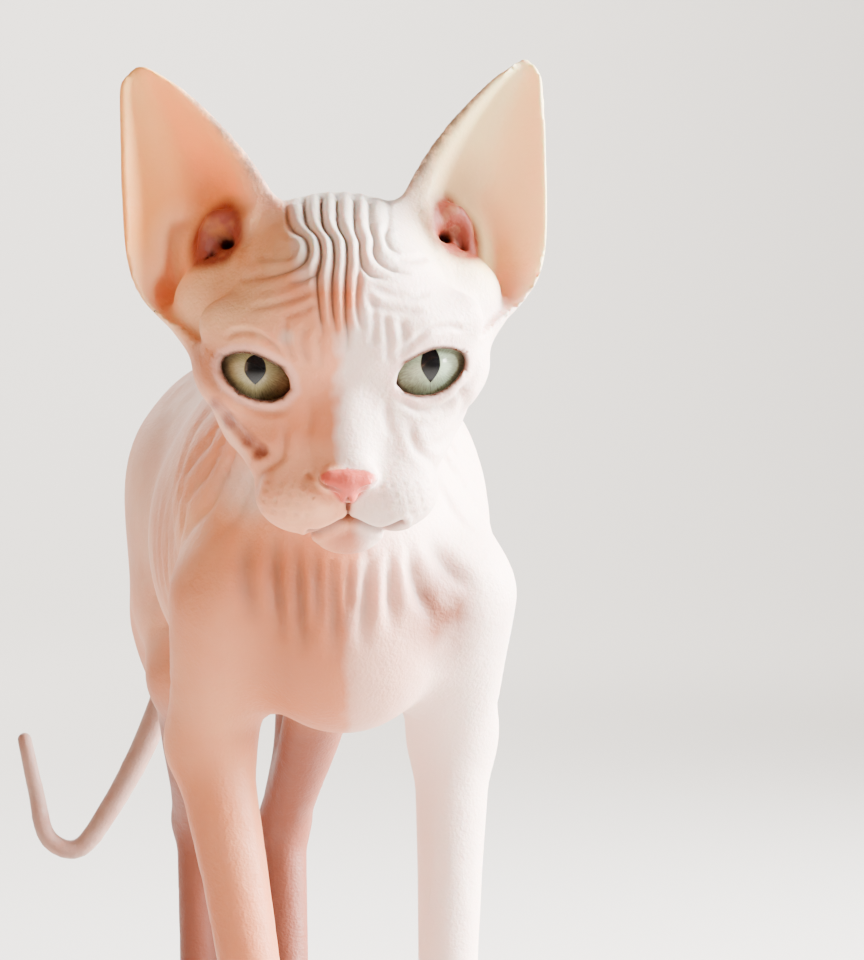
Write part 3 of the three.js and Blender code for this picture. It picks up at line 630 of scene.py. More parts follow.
def settle(form, points, limit, rounds=3):
    start = points.copy()
    for _ in range(rounds):
        values = inChunks(form, points)
        slope = slopes(form, points, values)
        points = points - slope * (values / np.maximum((slope ** 2).sum(1), 0.3))[:, None]
    moved = points - start
    far = lengths(moved)
    return start + moved * np.minimum(1, limit / np.maximum(far, 1e-6))[:, None]


skinGrid = {
    "headCell": 1.37,
    "headBox": ((-76, -138, 176), (62, 34, 334)),
    "bodyCell": 2.7,
    "bodyBox": ((-94, -56, -2.7), (60, 274, 262)),
    "cutPoint": (0, -9, 215),  # where the fine skin of the head meets the coarser skin of the body
    "cutLean": 41.0,
    "overlap": 5.0,
    "band": 2.6,
    "settle": 0.6,  # how far a point may move onto the form, in cells
}
cutLean = math.radians(skinGrid["cutLean"])
cutNormal = np.array([0, -math.sin(cutLean), math.cos(cutLean)])


def cutDistance(p):
    return (p - np.array(skinGrid["cutPoint"])) @ cutNormal


def meshFrom(points, quads):
    mesh = bmesh.new()
    for p in points:
        mesh.verts.new(p)
    mesh.verts.ensure_lookup_table()
    for quad in quads:
        try:
            mesh.faces.new([mesh.verts[i] for i in quad])
        except ValueError:
            pass
    return mesh


def pointsOf(mesh):
    return np.array([v.co[:] for v in mesh.verts])


def trimmed(box, cell, sign):  # the skin above the cut for a sign of 1, below it for -1
    def half(p):
        return np.maximum(catForm(p), -sign * cutDistance(p) - skinGrid["overlap"])

    points, quads = netOver(half, *box, cell)
    mesh = meshFrom(settle(half, points, cell * skinGrid["settle"]), quads)
    place = np.array(skinGrid["cutPoint"]) + cutNormal * sign * skinGrid["band"] / 2
    bmesh.ops.bisect_plane(mesh, geom=mesh.verts[:] + mesh.edges[:] + mesh.faces[:], dist=0.02,
                           plane_co=place, plane_no=cutNormal * -sign, clear_outer=True)
    return mesh


def bareSkin():
    head = trimmed(skinGrid["headBox"], skinGrid["headCell"], 1)
    print("head net", len(head.verts))
    body = trimmed(skinGrid["bodyBox"], skinGrid["bodyCell"], -1)
    print("body net", len(body.verts))
    whole = bpy.data.meshes.new("bareSkin")
    body.to_mesh(whole)
    head.from_mesh(whole)
    body.free()
    edge = [e for e in head.edges if e.is_boundary]
    bmesh.ops.bridge_loops(head, edges=edge)
    bmesh.ops.triangulate(head, faces=[f for f in head.faces if len(f.verts) > 4])
    return head, whole


skinMesh, skinData = bareSkin()
print("bare skin closed:", not any(e.is_boundary for e in skinMesh.edges), len(skinMesh.faces))


def refine(mesh, wanted, limit):
    mesh.faces.index_update()
    faces = [f for f in mesh.faces if wanted(f)]
    edges = {e for f in faces for e in f.edges}
    made = bmesh.ops.subdivide_edges(mesh, edges=list(edges), cuts=1, use_grid_fill=True)
    fresh = [v for v in made["geom_inner"] if isinstance(v, bmesh.types.BMVert)]
    points = settle(catForm, np.array([v.co[:] for v in fresh]), limit)
    for vert, point in zip(fresh, points):
        vert.co = point


def inFace(face):
    q = (np.array(face.calc_center_median()[:]) - eyesMiddle) @ headTurn
    return q[1] < 21 and abs(q[0]) < 31 and face.normal.y < -0.05 and q[2] > -50


def onPaw(face):
    return face.calc_center_median().z < 20


def onTail(face):
    return face.calc_center_median().y > 240


def onThroat(face):
    p = face.calc_center_median()
    return p.y < -12 and p.z > 130 and cutDistance(np.array(p[:])) < -2 and abs(p.x) < 42


for wanted, limit in ((inFace, 0.6), (onPaw, 1.2), (onTail, 1.2), (onThroat, 1.2)):
    refine(skinMesh, wanted, limit)


# folds, drawn as the cat is looked in the face: millimetres across and up from between its eyes
def facing(p):
    d = p - np.array(view["place"])
    depth = -(d @ viewBack)
    px = view["frame"][0] / 2 + view["focal"] * (d @ viewRight) / depth
    py = view["frame"][1] / 2 - view["focal"] * (d @ viewUp) / depth
    scale = view["millimetresPerPixel"]
    return (px - view["middle"][0]) * scale, (view["middle"][1] - py) * scale


folds = {  # lines, depth and width in millimetres
    "forehead": [  # furrows from the crown to the bridge of the nose
        ([(-15.4, 49), (-13.8, 36.6), (-9.7, 33.5), (-9.2, 29.1), (-11.5, 26.5), (-17.8, 24.2), (-23, 22.8)],
         1.0, 0.9),
        ([(-10.2, 50), (-9.4, 37.2), (-6.6, 34), (-5.7, 29.1), (-6.8, 23.4), (-6.7, 19.3), (-6, 13.5),
          (-5.1, 6.6)], 1.1, 0.8),
        ([(-5.7, 28.6), (-7.4, 24.2), (-9.7, 22.8), (-14.9, 21.6)], 0.7, 0.8),
        ([(-5.6, 50), (-5.1, 36.6), (-2.8, 33.5), (-2.3, 28.6), (-2.8, 22.8), (-2.8, 17), (-2.2, 11.2),
          (-1.4, 7.8)], 1.2, 0.8),
        ([(-1.6, 50), (-1.1, 36.6), (0.7, 33.5), (1.1, 28.6), (0.7, 22.8), (0.7, 13.5), (1.2, 8.3), (1, 3.1)],
         1.2, 0.8),
        ([(3.0, 50), (3.3, 35.5), (4.4, 32.9), (4.6, 28.6), (6.4, 24.5), (11.6, 22.5)], 1.1, 0.8),
        ([(4.4, 28.6), (4, 22.8), (3.6, 18.2), (4, 13.5), (5, 9.5)], 0.8, 0.8),
        ([(6.8, 50), (7.3, 36.6), (8.3, 33.5), (8.2, 29.7), (9.9, 27.1), (14, 25), (18, 24.2)], 1.1, 0.9),
        ([(11.4, 50), (12.2, 37.2), (11.1, 34.3), (12.2, 31.4), (15.1, 29.1)], 0.9, 0.9),
    ],
    "brow": [
        ([(-15.4, 13), (-15.2, 7), (-12.6, 1.4)], 0.6, 1.1),
        ([(-9.8, 11), (-10.9, 5.4), (-8.8, 0.4)], 0.55, 1.0),
        ([(-6.6, 8.9), (-5.9, 3.1), (-6.4, -1)], 0.4, 0.9),
        ([(7.3, 18), (8.4, 11.2), (7.6, 5)], 0.45, 0.9),
        ([(10.5, 14.5), (12, 6), (11.9, 0)], 0.55, 1.0),
        ([(15.1, 12.8), (15.9, 6), (14.1, 2.1)], 0.6, 1.1),
        ([(-22.4, 28.6), (-16.7, 27.9), (-12, 29.1)], 0.5, 1.2),
        ([(-27.6, 22.5), (-19.6, 24.2), (-12.6, 26.5)], 0.5, 1.2),
        ([(-6.6, 20.4), (-11, 18.4), (-18.4, 16.2), (-25, 15.2)], 0.5, 0.9),
        ([(-6.4, 16.8), (-10.5, 14.4), (-16, 12.8)], 0.4, 0.9),
        ([(7.4, 21.4), (11, 19.2), (17.2, 18.2), (23, 19.4)], 0.5, 0.9),
        ([(5.6, 18.6), (9.4, 15.4), (15.4, 14.2), (21, 14.6)], 0.5, 0.9),
        ([(13.4, 28), (18, 27.8), (23, 29)], 0.5, 1.0),
    ],
    "lids": [
        ([(-31, 7), (-28.8, 8.6), (-24.2, 9), (-19.6, 6.8), (-15.6, 3)], 0.7, 0.8),
        ([(15.7, 3.4), (18.6, 6.6), (22.6, 9.4), (28.4, 10.4), (32, 9)], 0.7, 0.8),
        ([(-35.7, 0.2), (-33.1, -5), (-28.2, -8.4), (-22.4, -11.4), (-16.7, -11.9), (-12.6, -9.9)], 0.8, 0.9),
        ([(12.2, -9.6), (15.7, -9.6), (20.3, -11.6), (26.1, -10.4), (32.4, -5), (35.3, -0.3)], 0.8, 0.9),
    ],
    "cheek": [
        ([(-15.5, -14), (-16.2, -23.2), (-22, -27.8), (-23.4, -35)], 0.9, 1.2),
        ([(-33, -10), (-28, -16), (-22.6, -21.5), (-17, -23)], 0.7, 1.3),
        ([(-34.5, -13), (-29, -20), (-24, -25)], 0.5, 1.2),
        ([(17, -14), (19, -21), (24.6, -27), (24, -35)], 0.7, 1.3),
        ([(30.5, -4), (31.5, -10), (28.5, -17), (22, -22)], 0.6, 1.2),
        ([(-9.6, -27.2), (-7.6, -29)], 0.5, 0.7),
        ([(-9.5, -7), (-8.6, -13), (-9.5, -19)], 0.4, 1.2),
        ([(11.4, -8), (11.2, -13), (12.4, -18)], 0.4, 1.2),
    ],
    "mouth": [
        ([(-8.8, -43.1), (-6.2, -43.0), (-3.6, -42.1), (-0.5, -40.4), (1.3, -39.4), (3.6, -40.4), (7, -42),
          (9.9, -42.6), (12.2, -42), (15.4, -40.6)], 1.7, 0.8),
        ([(1.3, -34.6), (1.3, -37), (1.3, -39.6)], 0.9, 0.65),
    ],
    "throat": [
        ([(-24, -41), (-26, -53), (-23, -68)], 1.2, 2.2),
        ([(-18.5, -42), (-18, -55), (-16, -72)], 1.6, 2.0),
        ([(-13, -44), (-12, -58), (-11, -76)], 1.9, 1.9),
        ([(-8, -46), (-7, -58), (-6.5, -70)], 1.5, 1.6),
        ([(-3, -47), (-2.6, -60), (-2, -78)], 1.7, 1.8),
        ([(2, -47), (1.6, -58), (1.2, -70)], 1.4, 1.6),
        ([(7.4, -46), (6.4, -57), (5, -74)], 1.9, 1.8),
        ([(12.4, -45), (12.6, -58), (12.4, -70)], 1.6, 1.7),
        ([(17, -44), (19.5, -57), (24, -68)], 1.7, 1.9),
        ([(21, -42), (27, -52), (35, -59)], 1.1, 2.1),
    ],
}


foldLook = {  # how the folds of each place are made
    "forehead": {"narrow": 0.55, "behind": 45, "shade": 1.0},
    "brow": {"shade": 0.6},
    "lids": {"shade": 0.5},
    "cheek": {"shade": 0.3},
    "mouth": {"narrow": 0.7, "shade": 1.0},
    "throat": {"taper": 0.36, "swell": 0.16, "press": 1.3, "shade": 0.65},
    "usual": {"narrow": 1.0, "behind": 16, "taper": 0.16, "swell": 0.28, "press": 1.0},
}
creases = [  # soft folds on the body: middle, reach, direction across them, spacing and depth in millimetres
    ((30, 8, 205), (22, 34, 30), (0, 0.94, 0.34), 10.5, 2.3),
    ((36, 18, 150), (18, 26, 22), (0, 0.5, 0.87), 9.0, 1.6),
    ((34, 140, 168), (22, 32, 30), (0, 0.8, 0.6), 12.0, 2.2),
    ((20, 60, 240), (30, 40, 16), (0, 1, 0), 11.0, 1.2),
    ((22, 208, 105), (14, 20, 26), (0, 0.2, 0.98), 9.0, 1.0),
    ((12, 222, 222), (18, 22, 22), (0, 0.7, 0.7), 9.0, 1.6),
    ((38, 70, 180), (14, 44, 34), (0, 1, 0.1), 13.0, 1.1),
]
whiskers = {"rows": 4, "inRow": 5, "nose": 1.3, "first": (8.5, -31.5), "step": (3.0, 0.4),
            "rowStep": (0.7, -2.4), "size": 0.55, "depth": 0.3}
earTips = {"rounds": (30, 26, 22, 18, 14, 10, 6), "factor": 0.4}  # how far below the tips each round reaches

middles = np.array([f.calc_center_median()[:] for f in skinMesh.faces])
inward = ((middles - eyesMiddle) @ headTurn)[:, 1]
byFold = (inward < 34) & (cutDistance(middles) > 4) & (middles[:, 1] < -44)
byFold &= np.array([f.normal.y < -0.02 for f in skinMesh.faces])
asked = np.flatnonzero(byFold)
faceU, faceV = facing(middles[asked])
closeTo = np.zeros(len(asked), bool)
for name in ("forehead", "mouth"):
    within = 1.0 if name == "mouth" else 1.9 - 0.9 * (inward[asked] < 20)
    for line, depth, width in folds[name]:
        closeTo |= lineDistance(faceU, faceV, softLine(line))[0] < within
byFold[asked] = closeTo
refine(skinMesh, lambda f: byFold[f.index], 0.4)
for below in earTips["rounds"]:  # the thin ears are evened out, most of all at their tips
    heights = ((pointsOf(skinMesh) - eyesMiddle) @ earTurn)[:, 2]
    skinMesh.verts.ensure_lookup_table()
    tips = [skinMesh.verts[i] for i in np.flatnonzero(heights > ear["tip"] - below)]
    bmesh.ops.smooth_vert(skinMesh, verts=tips, factor=earTips["factor"], use_axis_x=True, use_axis_y=True,
                          use_axis_z=True)
print("skin refined", len(skinMesh.faces))

points = pointsOf(skinMesh)
values = inChunks(catForm, points)
normals = slopes(catForm, points, values)
normals /= np.maximum(lengths(normals), 1e-6)[:, None]
u, v = facing(points)
headPoints = (points - eyesMiddle) @ headTurn
earPoints = (points - eyesMiddle) @ earTurn
mirroredEar = mirror(earPoints)
pastCut = cutDistance(points)
toCamera = np.array(view["place"]) - points
toCamera /= lengths(toCamera)[:, None]
front = share(((normals * toCamera).sum(1) + 0.15) / 0.3)
onHead = ((headPoints[:, 1] < 45) | (earPoints[:, 2] > 26)) & (pastCut > 0)
earMargin = fade(mirroredEar[:, 0], 12, 3) * fade(earPoints[:, 2], 34, 3)
lift = np.zeros(len(points))
# painted shade in the grooves of the folds and in the whisker pits
foldShade = np.zeros(len(points))
for name, lines in folds.items():
    look = {**foldLook["usual"], **foldLook[name]}
    if name == "throat":
        onPlace = (pastCut < 24) & (points[:, 1] < 5) & (headPoints[:, 1] > 2)
    else:
        onPlace = onHead & (headPoints[:, 1] < look["behind"])
    there = np.flatnonzero(onPlace & (front > 0))
    for line, depth, width in lines:
        away, along = lineDistance(u[there], v[there], softLine(line))
        seen = front[there] * (1 if name == "mouth" else share(np.minimum(along, 1 - along) / look["taper"]))
        sharp, soft = np.exp(-(away / (look["narrow"] * width)) ** 2), np.exp(-(away / (1.5 * width)) ** 2)
        groove = (0.6 * sharp + 0.4 * soft if name == "forehead" else sharp) * seen
        swell = np.exp(-((away - 2.1 * width) / (1.1 * width)) ** 2) * seen
        lift[there] += depth * (look["swell"] * swell - look["press"] * groove)
        foldShade[there] = np.maximum(foldShade[there], sharp * seen * min(depth, 1.2) * look["shade"])
for side in (-1, 1):  # the pits the whiskers grow from
    for row in range(whiskers["rows"]):
        for place in range(whiskers["inRow"]):
            across = whiskers["first"][0] + whiskers["step"][0] * place + whiskers["rowStep"][0] * row
            up = whiskers["first"][1] + whiskers["step"][1] * place + whiskers["rowStep"][1] * row
            pit = np.hypot(u - whiskers["nose"] - side * across, v - up)
            mark = np.exp(-(pit / whiskers["size"]) ** 2) * front * onHead * (headPoints[:, 1] < 10)
            lift -= whiskers["depth"] * mark
            # painted shade in the whisker pits
            foldShade = np.maximum(foldShade, whiskers["depth"] * mark)
lift *= 1 - earMargin
for centre, reach, along, spacing, depth in creases:
    for side in (-1, 1):
        flip = np.array([side, 1, 1])
        away = points - np.array(centre) * flip
        y, z = away.T[1:]
        wander = 2.6 * np.sin(z * 0.11 + y * 0.07) + 1.3 * np.sin(y * 0.31 - z * 0.17)
        wave = np.sin(2 * math.pi * ((away * flip) @ np.array(along) + wander) / spacing)
        inside = share(1 - ((away / np.array(reach)) ** 2).sum(1)) * (pastCut < 6)
        lift -= depth * share(wave) ** 2 * inside
points = points + normals * lift[:, None]
print("folds pressed in")


# where the skin changes colour, and where light and shade are painted on it, as masks on its points
markings = {  # spots as the cat is looked in the face: middle, radius, soft edge, squeeze across and up
    "brow": [((-14.6, 7.6), 0.6, 2.2, (1, 1)), ((15, 8), 0.6, 2.2, (1, 1))],
    "neck": [((-24.7, -32), 4, 7, (1, 1))],
    "stain": [((-33.5, -10), 0.5, 1.6, (1, 1)), ((-29.6, -14), 1.3, 1.6, (1, 1)),
              ((-24.9, -19.2), 1.0, 1.6, (1, 1)), ((-21.4, -22.4), 1.3, 1.6, (1, 1))],
    # painted light lifting the shade in the hollows beside the ear, between ear and crown and over the temple
    # on the shaded side
    "earSideLight": [((-26.6, 19), 9, 9, (0.7, 1)), ((-20, 31), 4, 7, (1, 1)), ((-42, 16), 5, 6, (1, 0.6))],
    # painted light on the shaded top of the shoulder
    "shoulderLight": [((-26.5, -43), 6, 10, (0.8, 1))],
    "cheekTan": [((-35, 2), 3, 9, (1, 1))],
    # painted light on the shaded side of the muzzle
    "muzzleLight": [((-10.5, -32), 7, 8, (1, 1))],
    "lipTone": [((1.5, -46), 2.5, 4, (1, 1))],
    "chestPatch": [((25.5, -44), 4.5, 8, (1, 0.7))],
    "cheekLine": [(-33, -9.5), (-29, -14.5), (-21.5, -21.5)],
    "litSideEdge": ([-90, -72, -60, -50, -38, -25, -12, 0, 9, 22, 34],  # how far across the painted light of the lit half starts
                  [1.0, 0.6, 2.6, 3.2, 2.8, 0.2, -1.2, -0.4, 0.4, 6, 9]),
    "litSideSoft": ([-40, -20, 4, 12, 22], [9, 9, 14, 20, 24]),
    "noseWidth": ([-36.2, -35, -33.4, -31.5, -29.6, -28.2, -27, -26.4], [0, 2.2, 3.6, 5.4, 7.4, 7.2, 5, 0]),
}


def near(p, centre, radius, soft, squeeze=1):
    return share((radius + soft - lengths(p * np.array(squeeze) - np.array(centre))) / soft)


uv = np.stack([u, v], 1)
back, height, pastCut = points[:, 1], points[:, 2], cutDistance(points)
earAcross, earHeight = mirroredEar[:, 0], earPoints[:, 2]


def spots(name, together=np.maximum.reduce):
    return together([near(uv, *spot) for spot in markings[name]])


isHead = onHead.astype(float)
faceFront = isHead * front
nearFace = isHead * (headPoints[:, 1] < 16)
crown = fade(v, 19, 15) * fade(np.abs(earPoints[:, 0] - 2), 15.5, -4) * (height > 215)
nape = fade(headPoints[:, 1], 26, 20) * fade(height, 226, 20)
nape *= fade(np.abs(earPoints[:, 0] + 1), 26, -10) * fade(back, 100, -90)
flank = near(points, (0, 150, 196), 34, 26, (0, 1, 1)) * (points[:, 0] < -10)
neckPatch = spots("neck") * (back > -50) * (front > 0.2)
inEar = fade(earHeight, 14, 14) * fade(earAcross, 17, 12) * isHead * fade(earPoints[:, 1], 3, 14)
earFront = inEar * share(front * 1.2)
leafMiddle, leafHalf = earOutline(earHeight, np.sign(earPoints[:, 0]))[1:]
leafShare = (earAcross - leafMiddle) / leafHalf  # -1 at the inner edge of an ear, 1 at the outer
innerEdge = isHead * fade(-leafShare, 0.74, 0.16) * (earAcross > 10) * fade(earHeight, 42, 10)
innerEdge *= fade(earHeight, 84, -12)
pigment = share(np.maximum.reduce([crown, nape * 0.7, flank * 0.3, neckPatch * 0.6,
                                   spots("brow") * faceFront * 0.6, innerEdge * 0.3]))
cheek = share(2.4 - lineDistance(u, v, markings["cheekLine"])[0])
blush = np.maximum.reduce([share(near(mirroredEar, (37, 24, 34.5), 7, 7.5, (1.2, 1, 1)) * earFront * 1.8),
                           near(mirroredEar, (31, 25, 34.5), 8, 3) * inEar,
                           0.36 * near(mirroredEar, (34, 17, 27), 3, 8, (1, 0.6, 0.6)) * earFront,
                           0.5 * cheek * nearFace * front])
noseWidth = np.interp(v, *markings["noseWidth"])
noseLeather = share((noseWidth - np.abs(u - whiskers["nose"])) / 1.2 + 0.5) * faceFront * (noseWidth > 0)
# painted shade in the ear canal
canalShade = share(near(mirroredEar, (28.8, 27, 34), 2.4, 2.6) * inEar)
nostril = share(0.9 - hollows[0]["distance"](mirror(headPoints))) * isHead
lidEdge, lidPink = np.zeros(len(points)), np.zeros(len(points))
for side in sides:
    rim = np.abs(lidOpening(points, side))
    a, b, out = eyeCoordinates(points, side)
    lidPink = np.maximum(lidPink, fade(rim, 2.9, -0.8) * (out > 4) * (np.hypot(a, b) < 16))
    lidEdge = np.maximum(lidEdge, fade(rim, 1.1, -0.6) * (out > 4) * (np.hypot(a, b) < 15) *
                         (1 - 0.75 * fade(a, 7.2, 1.4)))  # thinner at the inner corner
# painted shade in the ear canal, the nostrils and along the mouth
hollowShade = np.maximum(canalShade, nostril * 0.8)
for line, depth, width in folds["mouth"]:
    hollowShade = np.maximum(hollowShade, np.exp(-(lineDistance(u, v, softLine(line))[0] / 0.7) ** 2) *
                           front * nearFace)
tailAway = np.full(len(points), 99.0)
behind = back > 236
tailAway[behind] = np.min([lengths(points[behind] - q) for q in tailRoute[14:]], axis=0)
# painted light: the half of the face, chest and foreleg that faces the key lamp is painted paler
paintedLitSide = share((u - np.interp(v, *markings["litSideEdge"])) / np.interp(v, *markings["litSideSoft"]) + 0.5)
paintedLitSide *= fade(back, 74 + 0.4 * (236 - height), -90)  # it runs out behind the shoulder
paintedLitSide *= 1 - 0.6 * inEar
masks = {
    "pigment": pigment,
    "blush": blush,
    "nose": noseLeather,
    "lidEdge": lidEdge,
    "lidPink": lidPink,
    "hollowShade": hollowShade,
    "tailTone": fade(tailAway, 12, -4),
    "foldShade": share(foldShade),
    # the ear's own peach, with a painted glow of light shining through the thin ear
    "earLeaf": inEar,
    # painted shade: the lower legs darker, the hind legs most
    "legShade": fade(height, 130, -30) * (0.25 + 0.75 * (back > 120)),
    "pads": fade(height, 4, -2),
    "stain": share(spots("stain", sum)) * nearFace * front,
    # painted light on the lit half
    "paintedLitSide": paintedLitSide,
    "earRim": innerEdge,
    # painted light in the shaded hollows by the ear
    "earSideLight": spots("earSideLight") * isHead,
    "crown": crown,
    # painted shade on the chest and forelegs of the shaded half
    "frontShade": fade(v, -44, -8) * fade(u, 5, -8) * fade(u, -30, 16) * (1 - isHead) * fade(height, 90, 30) *
    (back < 60),
    # painted light on the shaded top of the shoulder
    "shoulderLight": spots("shoulderLight") * (1 - isHead) * fade(back, 30, -30),
    "cheekTan": spots("cheekTan") * isHead,
    # painted light on the shaded side of the muzzle
    "muzzleLight": spots("muzzleLight") * faceFront,
    "lipTone": spots("lipTone") * faceFront,
    # painted light: the ear on the lit side painted paler
    "litEar": inEar * (earPoints[:, 0] > 0),
    "leafTip": inEar * fade(earHeight, 46, 40),
    # painted shade on the hind legs, deep under the body
    "hindShade": fade(height, 150, -40) * fade(back, 110, 30),
    # painted shade: the body below the neck darker, most towards the front
    "bodyShade": fade(pastCut, 0, -26) * np.clip((150 - back) / 60, 0.3, 1),
    "chest": near(points, (-2, -18, 128), 16, 26, (1, 0.6, 0.8)) * (back < 20),
    "chestPatch": spots("chestPatch") * front * (pastCut < 5),
}

for vert, point in zip(skinMesh.verts, metres(points)):
    vert.co = point
skinMesh.normal_update()
skinMesh.to_mesh(skinData)
skinMesh.free()
for name, mask in masks.items():
    skinData.attributes.new(name, "FLOAT", "POINT").data.foreach_set("value", mask.astype(np.float32))
skinData.polygons.foreach_set("use_smooth", [True] * len(skinData.polygons))
skin = placed("bareSkin", skinData)
print("skin triangles", sum(len(p.vertices) - 2 for p in skinData.polygons))


# materials
class NodeDesk:  # short hands for one material's nodes
    def __init__(self, name):
        self.material = bpy.data.materials.new(name)
        self.material.use_nodes = True
        self.tree = self.material.node_tree
        self.shader = self.tree.nodes["Principled BSDF"]

    def node(self, kind, **inputs):
        made = self.tree.nodes.new(kind)
        for key, value in inputs.items():
            self.put(made.inputs[key.replace("_", " ")], value)
        return made

    def put(self, socket, value):
        if isinstance(value, bpy.types.NodeSocket):
            self.tree.links.new(value, socket)
        else:
            socket.default_value = value

    def mask(self, name):
        made = self.tree.nodes.new("ShaderNodeAttribute")
        made.attribute_name = name
        return made.outputs["Fac"]

    def maths(self, operation, a, b=0.0, clamp=False):
        made = self.tree.nodes.new("ShaderNodeMath")
        made.operation = operation
        made.use_clamp = clamp
        self.put(made.inputs[0], a)
        self.put(made.inputs[1], b)
        return made.outputs[0]

    def times(self, a, b):
        return self.maths("MULTIPLY", a, b)

    def mix(self, factor, a, b):
        made = self.tree.nodes.new("ShaderNodeMix")
        made.data_type = "RGBA"
        self.put(made.inputs[0], factor)
        self.put(made.inputs[6], a)
        self.put(made.inputs[7], b)
        return made.outputs[2]

    def noise(self, scale, detail=2.5, roughness=0.55, vector=None):
        made = self.node("ShaderNodeTexNoise", Scale=scale, Detail=detail, Roughness=roughness)
        self.put(made.inputs["Vector"], vector or self.place())
        return made.outputs["Fac"]

    def place(self):
        return self.tree.nodes.new("ShaderNodeTexCoord").outputs["Object"]

    def ramp(self, factor, low, high):
        return self.node("ShaderNodeMapRange", Value=factor, From_Min=low, From_Max=high).outputs["Result"]

    def set(self, values):
        for name, value in values.items():
            self.shader.inputs[name].default_value = value


skinLook = {
    "base": (0.70, 0.225, 0.09, 1),
    "pale": (0.80, 0.35, 0.18, 1),
    "patches": (28.0, 3.0, 0.55, 0.35, 0.68),  # a grain's scale, detail and roughness, and its ramp's ends
    "mottle": (160.0, 3.5, 0.65, 0.3, 0.7),
    "mottled": (0.72, 0.36, 0.27, 1),
    "mottleWeight": 0.18,
    "speckle": (75.0, 3.5, 0.6, 0.25, 0.6),
    "speckleWeight": (0.68, 0.27),
    "litSideRamp": (0.36, 0.64),
    "litSideWander": ((24.0, 2.0, 0.35), (95.0, 2.5, 0.7)),  # scale, detail and weight
    "tones": [  # painted one over the other: mask, weight, tone, and the grain that breaks it up
        # the ear's own peach, with a painted glow of light shining through the thin ear
        ("earLeaf", 1.0, (0.97, 0.37, 0.085, 1)),
        ("leafTip", 0.6, (1.0, 0.55, 0.19, 1)),
        # painted light in the shaded hollows by the ear
        ("earSideLight", 0.75, (1.0, 0.57, 0.31, 1)),
        ("muzzleLight", 0.6, (0.90, 0.44, 0.25, 1)),
        # painted shade: the body below the neck darker, most towards the front
        ("bodyShade", 0.5, (0.44, 0.125, 0.032, 1)),
        # painted light on the shaded top of the shoulder
        ("shoulderLight", 0.8, (0.86, 0.40, 0.20, 1)),
        ("cheekTan", 0.7, (0.42, 0.12, 0.04, 1)),
        # painted shade: the lower legs darker, the hind legs most
        ("legShade", 0.9, (0.36, 0.115, 0.065, 1)),
        # painted shade on the hind legs, deep under the body
        ("hindShade", 0.9, (0.17, 0.042, 0.02, 1)),
        # painted light: the lit half painted paler
        ("paintedLitSide", 0.8, (0.93, 0.76, 0.68, 1)),
        # painted light: the ear on the lit side painted paler
        ("litEar", 0.9, (1.0, 0.78, 0.40, 1)),
        ("lipTone", 0.75, (0.50, 0.16, 0.09, 1)),
        # painted shade on the chest and forelegs of the shaded half
        ("frontShade", 0.75, (0.35, 0.095, 0.022, 1)),
        ("pigment", 1.0, (0.66, 0.56, 0.48, 1)),
        ("crown", 0.6, (0.88, 0.76, 0.66, 1)),
        ("chest", 0.6, (0.58, 0.19, 0.085, 1)),
        ("chestPatch", 0.95, (0.22, 0.06, 0.025, 1), (60.0, 2.5, 0.55, 0.0, 0.5)),
        ("tailTone", 1.0, (0.34, 0.20, 0.155, 1), (60.0, 2.5, 0.55, 0.1, 0.55)),
        ("earRim", 0.85, (0.19, 0.12, 0.09, 1), (330.0, 3.0, 0.7, 0.3, 0.55)),
        ("blush", 1.0, (0.26, 0.046, 0.024, 1), (120.0, 2.5, 0.55, -0.35, 0.5)),
        # painted shade in the grooves of the folds
        ("foldShade", 0.56, (0.22, 0.14, 0.115, 1)),
        ("stain", 0.9, (0.26, 0.06, 0.025, 1), (300.0, 2.5, 0.55, 0.15, 0.55)),
        ("nose", 1.0, (0.63, 0.105, 0.07, 1)),
        ("pads", 0.7, (0.66, 0.36, 0.31, 1)),
        # painted shade in the ear canal, the nostrils and along the mouth
        ("hollowShade", 0.85, (0.22, 0.07, 0.05, 1)),
        ("lidPink", 0.4, (0.80, 0.47, 0.42, 1)),
        ("lidEdge", 1.0, (0.10, 0.045, 0.028, 1)),
    ],
    "roughness": 0.48,
    "mottleRoughness": 0.14,
    "lidGloss": 0.25,
    "shader": {"Subsurface Weight": 0.35, "Subsurface Radius": (1.0, 0.36, 0.2), "Subsurface Scale": 0.004,
               "Specular IOR Level": 0.35},
    "pores": (620.0, 0.0, 0.35, 0.25),  # scale, ends of the ramp and weight in the bump
    "soft": (190.0, 3.0, 0.6, 2.2),  # scale, detail, roughness and weight in the bump
    "fine": (900.0, 2.0),
    "bump": {"Strength": 0.35, "Distance": 0.00045},
}


